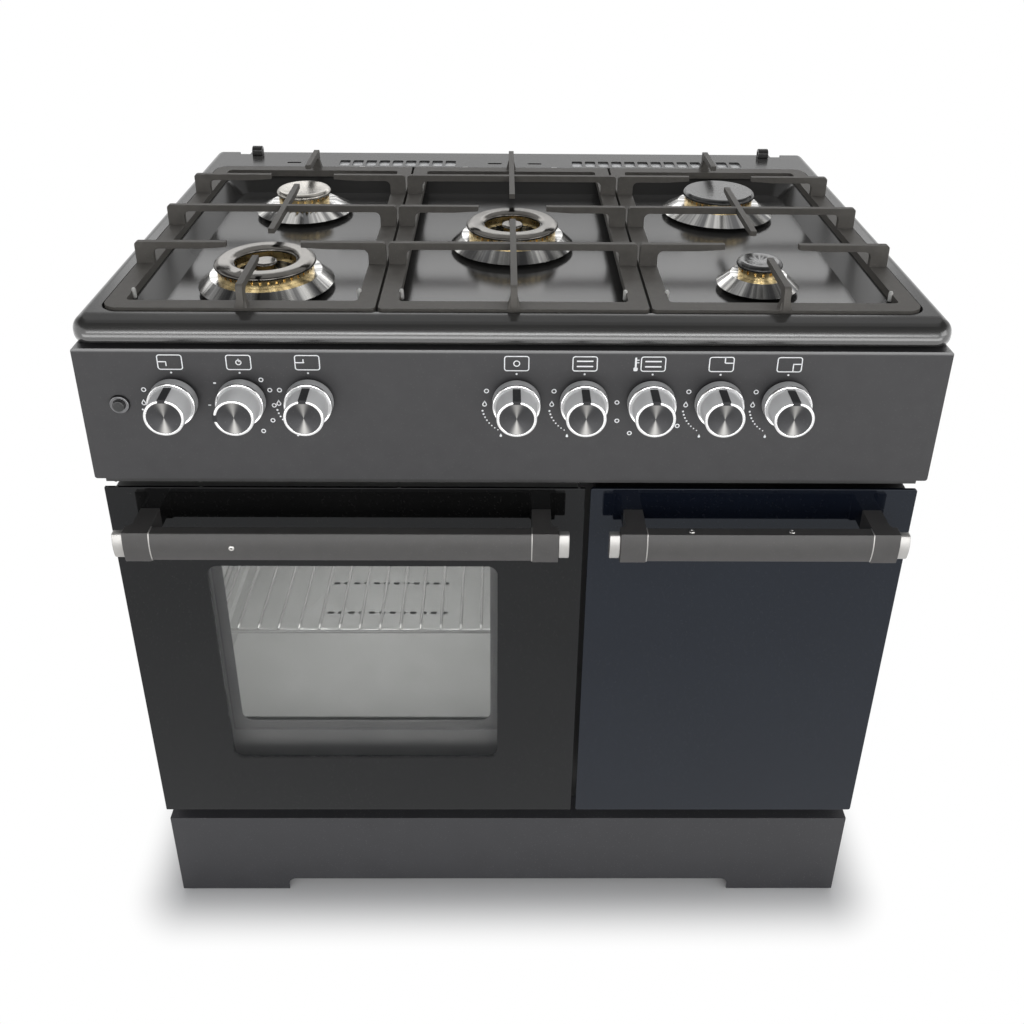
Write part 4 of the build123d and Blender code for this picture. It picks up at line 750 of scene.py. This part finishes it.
def inkRound(x, z, radius, hollow, lengthen=0):
    bpy.ops.mesh.primitive_circle_add(vertices=ink["roundSteps"], radius=radius * mm, fill_type="NGON",
                                      location=(x * mm, (ink["face"] - ink["lift"]) * mm, z * mm),
                                      rotation=(math.pi / 2, 0, 0))
    piece = applyPlace(bpy.context.object)
    if lengthen:
        selectEdges(piece, lambda a, b: min(a.z, b.z) > (z + radius * ink["flameFrom"]) * mm)
        bpy.ops.mesh.select_mode(type="VERT")
        bpy.ops.transform.resize(value=(ink["flameNarrow"], 1, 1), center_override=(x * mm, 0, z * mm))
        bpy.ops.transform.translate(value=(0, 0, lengthen * mm))
        bpy.ops.object.mode_set(mode="OBJECT")
    if hollow:
        editAll(piece)
        bpy.ops.mesh.inset(thickness=ink["line"] * mm)
        bpy.ops.mesh.delete(type="FACE")
        bpy.ops.object.mode_set(mode="OBJECT")
    printed.append(piece)


# strokes inside each icon, as (across, up, wide, high) from its middle, and the radius of a ring in it
ovenStrokes = [(0, 3, 17, 1.6), (0, -3, 17, 1.6)]
iconStrokes = {
    "front_left": [(-8, 0.5, 9, 1.2), (-4, -2, 1.2, 5)],
    "timer": [(0, 2.5, 1.1, 3.5), (1.5, 1, 3, 1.1)],
    "rear_left": [(-7.5, 0, 9, 1.2), (-4, 2, 1.2, 4)],
    "centre": [],
    "oven": ovenStrokes,
    "selector": ovenStrokes + [(-18, 1.5, 2, 12), (-18, -6, 4.4, 4.4), (-16, 4.5, 3, 1), (-16, 1.5, 3, 1)],
    "rear_right": [(3.5, 5, 1.2, 7), (8, 1.5, 9, 1.2)],
    "front_right": [(8, 0.5, 9, 1.2), (4, -3.5, 1.2, 8)]}
iconRings = {"centre": 3.6, "timer": 3.2}
for place, x in knobPlaces.items():
    up = knob["height"] + ink["iconUp"]
    inkOutline(x, up, ink["iconWide"], ink["iconHigh"], ink["iconCorner"])
    for across, rise, wide, high in iconStrokes[place]:
        inkBar(x + across, up + rise, wide, high)
    if place in iconRings:
        inkRound(x, up, iconRings[place], True)
    inkRound(x, knob["height"] + ink["dotUp"], ink["dotRadius"], False)

# marks round the knobs: flames as (across, up, radius, point), rings, and dots that shrink along an arc
gasScale = dict(ring=(-31, 16, 2.7), flame=(-33, 0, 2.5, 2.2), smallFlame=(-16, -38, 1.3, 1.6),
                arcRadius=36, arcFrom=192, arcTo=238, dots=8, dotRadius=1.1, dotShrink=0.4)
timerTicks = [(-35, -2, 3, 1.2), (-27, 24, 3, 2)]
dialRings = {"timer": [(21, 28), (29, 16), (32, -2), (29, -20), (18, -33)],
             "selector": [(-35, 3), (-34, -19), (-20, -34), (30, -25)]}
dialMiddle = knob["height"] - ink["scaleDrop"]


def printGasScale(x):
    across, rise, radius = gasScale["ring"]
    inkRound(x + across, dialMiddle + rise, radius, True)
    for flame, hollow in (("flame", True), ("smallFlame", False)):
        across, rise, radius, point = gasScale[flame]
        inkRound(x + across, dialMiddle + rise, radius, hollow, point)
    arc = gasScale["arcRadius"]
    for step in range(gasScale["dots"]):
        share = step / (gasScale["dots"] - 1)
        angle = math.radians(gasScale["arcFrom"] + (gasScale["arcTo"] - gasScale["arcFrom"]) * share)
        radius = gasScale["dotRadius"] - gasScale["dotShrink"] * share
        inkRound(x + arc * math.cos(angle), dialMiddle + arc * math.sin(angle), radius, False)


for place, x in knobPlaces.items():
    if place == "timer":
        for across, rise, wide, high in timerTicks:
            inkBar(x + across, dialMiddle + rise, wide, high)
    if place in dialRings:
        for across, rise in dialRings[place]:
            inkRound(x + across, dialMiddle + rise, ink["ringRadius"], True)
    else:
        printGasScale(x)
panelPrint = joinPieces(printed, "panelPrint")
finishWith(panelPrint, "SOLIDIFY", thickness=ink["lift"] * mm, offset=-1)
seat(panelPrint, "cooker", finishes["whiteInk"], "black_enamel")
print("panel printed")


# bright plates where a handle bar meets its brackets
trim = dict(thick=1.2, larger=1.03)
for door in ("oven", "bottle"):
    node = door + "_handle_bar"
    lowCorner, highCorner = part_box(node)
    centre = (lowCorner + highCorner) / 2
    for side, at, keepLow in (("Left", lowCorner.x + trim["thick"] * mm, True),
                              ("Right", highCorner.x - trim["thick"] * mm, False)):
        plate = softCopy(node, door + "HandleTrim" + side, 0)
        editAll(plate)
        bpy.ops.mesh.bisect(plane_co=(at, 0, 0), plane_no=(1, 0, 0), use_fill=True, clear_outer=keepLow,
                            clear_inner=not keepLow)
        bpy.ops.mesh.select_all(action="SELECT")
        bpy.ops.transform.resize(value=(1, trim["larger"], trim["larger"]), center_override=centre)
        bpy.ops.object.mode_set(mode="OBJECT")
        seat(plate, door + "_door", finishes["capSilver"], "cap_silver")
print("handle trims fitted")


# a pale tray under each row of vents
ventTray = dict(front=261.5, back=304, low=858.4, top=863.75, rim=1.5, deep=2.2, beyond=11, edge=0.2)
for side, (middle, count) in vents["rows"].items():
    reach = (count - 1) / 2 * vents["pitch"] + ventTray["beyond"]
    tray = block("ventTray" + side, (middle - reach, ventTray["front"], ventTray["low"]),
                 (middle + reach, ventTray["back"], ventTray["top"]), 0)
    selectFaces(tray, lambda c, n: n.z > 0.9)
    bpy.ops.mesh.inset(thickness=ventTray["rim"] * mm)
    bpy.ops.transform.translate(value=(0, 0, -ventTray["deep"] * mm))
    bpy.ops.object.mode_set(mode="OBJECT")
    soften(tray, ventTray["edge"])
    seat(tray, "cooker", finishes["palePlate"], "zinc_steel")
print("vent trays fitted")


# pale rubber: buffers behind the grates and studs at the grates' front corners
buffers = dict(places=(-218, -67, 63), front=249.5, deep=6.5, wide=9, low=858, high=866.5, edge=1.2)
for number, x in enumerate(buffers["places"]):
    low = (x - buffers["wide"] / 2, buffers["front"], buffers["low"])
    high = (x + buffers["wide"] / 2, buffers["front"] + buffers["deep"], buffers["high"])
    pad = block("rearBuffer" + str(number + 1), low, high, buffers["edge"])
    seat(pad, "cooker", finishes["padRubber"], "seal_rubber")
stud = dict(radius=2.4, low=858.5, high=870.5, back=-212, inset=0.9, steps=20,
            places={"grate_left": (-405.5, -163.5), "grate_centre": (-120.5, 120.5),
                    "grate_right": (163.5, 405.5)})
studMaster = spinPiece("studMaster", [
    (0, stud["low"]), (stud["radius"] * 0.7, stud["low"]), (stud["radius"], stud["low"] + 1),
    (stud["radius"], stud["high"] - 2), (stud["radius"] * 0.75, stud["high"] - 0.5),
    (stud["radius"] * 0.4, stud["high"]), (0, stud["high"])], "Z", stud["steps"])
for grate, (left, right) in stud["places"].items():
    which = grate.split("_")[1].capitalize()
    for side, x in (("Left", left + stud["inset"]), ("Right", right - stud["inset"])):
        piece = copyTo(studMaster, "grateStud" + which + side, (x, stud["back"], 0))
        seat(piece, grate, finishes["padRubber"], "seal_rubber")
bpy.data.objects.remove(studMaster)
print("rubber pieces set")


# screw heads: one on the front of the oven handle, two on the other handle, four under the rail
screw = dict(radius=3.4, proud=1.3, recess=1.1, steps=24, railRadius=2.6, railFront=-272, railHeight=666.8,
             railPlaces=(-435, -343, -125, 74))


def screwHead(name, axis, radius):
    rise = screw["proud"]
    outline = [(0, 0.4), (radius, 0.4), (radius, -0.2), (radius * 0.85, -rise * 0.75), (radius * 0.5, -rise),
               (radius * 0.34, -rise), (radius * 0.2, -rise + screw["recess"]), (0, -rise + screw["recess"])]
    return spinPiece(name, outline, axis, screw["steps"])


screwPlaces = [("ovenHandleScrew", "Y", screw["radius"], (-301, -329.1, 618), "oven_door", False),
               ("bottleHandleScrewLeft", "Z", screw["radius"], (193, -320.5, 635), "bottle_door", True),
               ("bottleHandleScrewRight", "Z", screw["radius"], (301, -320.5, 635), "bottle_door", True)]
for number, x in enumerate(screw["railPlaces"]):
    place = (x, screw["railFront"], screw["railHeight"])
    screwPlaces.append(("railScrew" + str(number + 1), "Z", screw["railRadius"], place, "cooker", False))
for name, axis, radius, place, body, upward in screwPlaces:
    head = screwHead(name, axis, radius)
    if upward:
        head.rotation_euler.x = math.pi
    head.location = [c * mm for c in place]
    applyPlace(head)
    seat(head, body, finishes["screwSteel"], "cap_silver" if body != "cooker" else "zinc_steel")
print("screws set:", len(screwPlaces))


# camera at the photograph's viewing angle
view = dict(place=(-0.0122, -1.25, 1.3123), pitch=26.24, yaw=-0.61, roll=0.52, lens=37.1, sensor=36,
            shiftUp=-0.16)
turn = (Matrix.Rotation(math.radians(view["yaw"]), 4, "Z")
        @ Matrix.Rotation(math.radians(90 - view["pitch"]), 4, "X")
        @ Matrix.Rotation(math.radians(view["roll"]), 4, "Z"))
bpy.ops.object.camera_add(location=view["place"], rotation=turn.to_euler())
camera = bpy.context.object
camera.name = "mainCamera"
camera.data.lens = view["lens"]
camera.data.sensor_width = view["sensor"]
camera.data.shift_y = view["shiftUp"]
bpy.context.scene.camera = camera
print("camera set")


# what the camera, metal and glass see
def seenRays(tree):
    rays = tree.nodes.new("ShaderNodeLightPath")
    shiny = addMath(tree, "MAXIMUM", rays.outputs["Is Glossy Ray"], rays.outputs["Is Transmission Ray"])
    return addMath(tree, "MAXIMUM", rays.outputs["Is Camera Ray"], shiny)


# a pale floor that keeps the shadow close to the cooker and fades to white away from it
floorLook = dict(dark=(0.58, 0.58, 0.585), light=(0.62, 0.62, 0.625), rough=(0.8, 0.95), grain=3, dust=0,
                 shine=0)
floorPlan = dict(size=40, drop=0.5, half=(0.43, 0.27, 0), fadeFrom=0, fadeTo=0.095)
bpy.ops.mesh.primitive_plane_add(size=floorPlan["size"], location=(0, 0, -floorPlan["drop"] * mm))
floor = bpy.context.object
floor.name = "floor"
floorPaint = makeFinish("floorPaint", floorLook)
tree = floorPaint.node_tree
spot = tree.nodes["Texture Coordinate"].outputs["Object"]
outward = addMath(tree, "ABSOLUTE", spot, kind="ShaderNodeVectorMath")
past = addMath(tree, "SUBTRACT", outward, floorPlan["half"], kind="ShaderNodeVectorMath")
outside = addMath(tree, "MAXIMUM", past, (0, 0, 0), kind="ShaderNodeVectorMath")
away = addMath(tree, "LENGTH", outside, kind="ShaderNodeVectorMath", result="Value")
fade = addRamp(tree, away, floorPlan["fadeFrom"], floorPlan["fadeTo"])
fade.node.interpolation_type = "SMOOTHSTEP"
faded = addMath(tree, "MULTIPLY", fade, seenRays(tree))
glow = tree.nodes.new("ShaderNodeEmission")
glow.inputs["Color"].default_value = (1, 1, 1, 1)
blendShaders(tree, faded, tree.nodes["Principled BSDF"].outputs[0], glow.outputs[0], "Material Output")
floor.data.materials.append(floorPaint)
print("floor laid")

# soft lamps, placed in metres and aimed at the cooker's middle unless they say otherwise
lamps = {"frontLamp": dict(place=(0, -3.3, 1.75), wide=3.4, high=0.6, power=30),
         "sideLamp": dict(place=(2.4, -1.4, 1.6), wide=1.4, high=1.4, power=10),
         "topLamp": dict(place=(0, 0.9, 3.1), wide=3.6, high=2.6, power=20),
         "backLamp": dict(place=(0, 2.5, 2.15), wide=3, high=0.7, power=11, aim=(0, -0.2, 0.85)),
         "lowLamp": dict(place=(0, -1.29, 0.535), wide=3.2, high=0.43, power=10, aim=(0, -0.289, 0.535)),
         "ovenLamp": dict(place=(-0.183, -0.04, 0.592), wide=0.36, high=0.2, power=0.85,
                          aim=(-0.183, -0.03, 0))}
middleOfCooker = (0, 0, 0.45)
for name, lamp in lamps.items():
    towards = Vector(lamp.get("aim", middleOfCooker)) - Vector(lamp["place"])
    turn = towards.to_track_quat("-Z", "Y").to_euler()
    bpy.ops.object.light_add(type="AREA", location=lamp["place"], rotation=turn)
    light = bpy.context.object
    light.name = name
    light.data.shape = "RECTANGLE"
    light.data.size = lamp["wide"]
    light.data.size_y = lamp["high"]
    light.data.energy = lamp["power"]
    light.visible_camera = False
print("lamps set:", len(lamps))

# the room: a soft fill, and for the camera, metal and glass, white walls and a dim ceiling past the floor
roomLook = dict(fill=0.3, fillColour=(0.95, 0.97, 1, 1), wallTop=0.445, ceiling=0.58, overhead=0.12)
room = bpy.data.worlds.new("studio")
bpy.context.scene.world = room
room.use_nodes = True
tree = room.node_tree
fill = tree.nodes["Background"]
fill.inputs["Color"].default_value = roomLook["fillColour"]
fill.inputs["Strength"].default_value = roomLook["fill"]
white = tree.nodes.new("ShaderNodeBackground")
white.inputs["Color"].default_value = (1, 1, 1, 1)
compass = tree.nodes.new("ShaderNodeTexCoord")
heading = tree.nodes.new("ShaderNodeSeparateXYZ")
tree.links.new(compass.outputs["Generated"], heading.inputs[0])
ceiling = addRamp(tree, heading.outputs["Z"], roomLook["wallTop"], roomLook["ceiling"],
                  toMin=1, toMax=roomLook["overhead"])
rays = tree.nodes.new("ShaderNodeLightPath")
strength = addMath(tree, "MAXIMUM", ceiling, rays.outputs["Is Camera Ray"])
tree.links.new(strength, white.inputs["Strength"])
blendShaders(tree, seenRays(tree), fill.outputs[0], white.outputs[0], "World Output")
bpy.context.scene.view_settings.view_transform = "Standard"
print("room set")
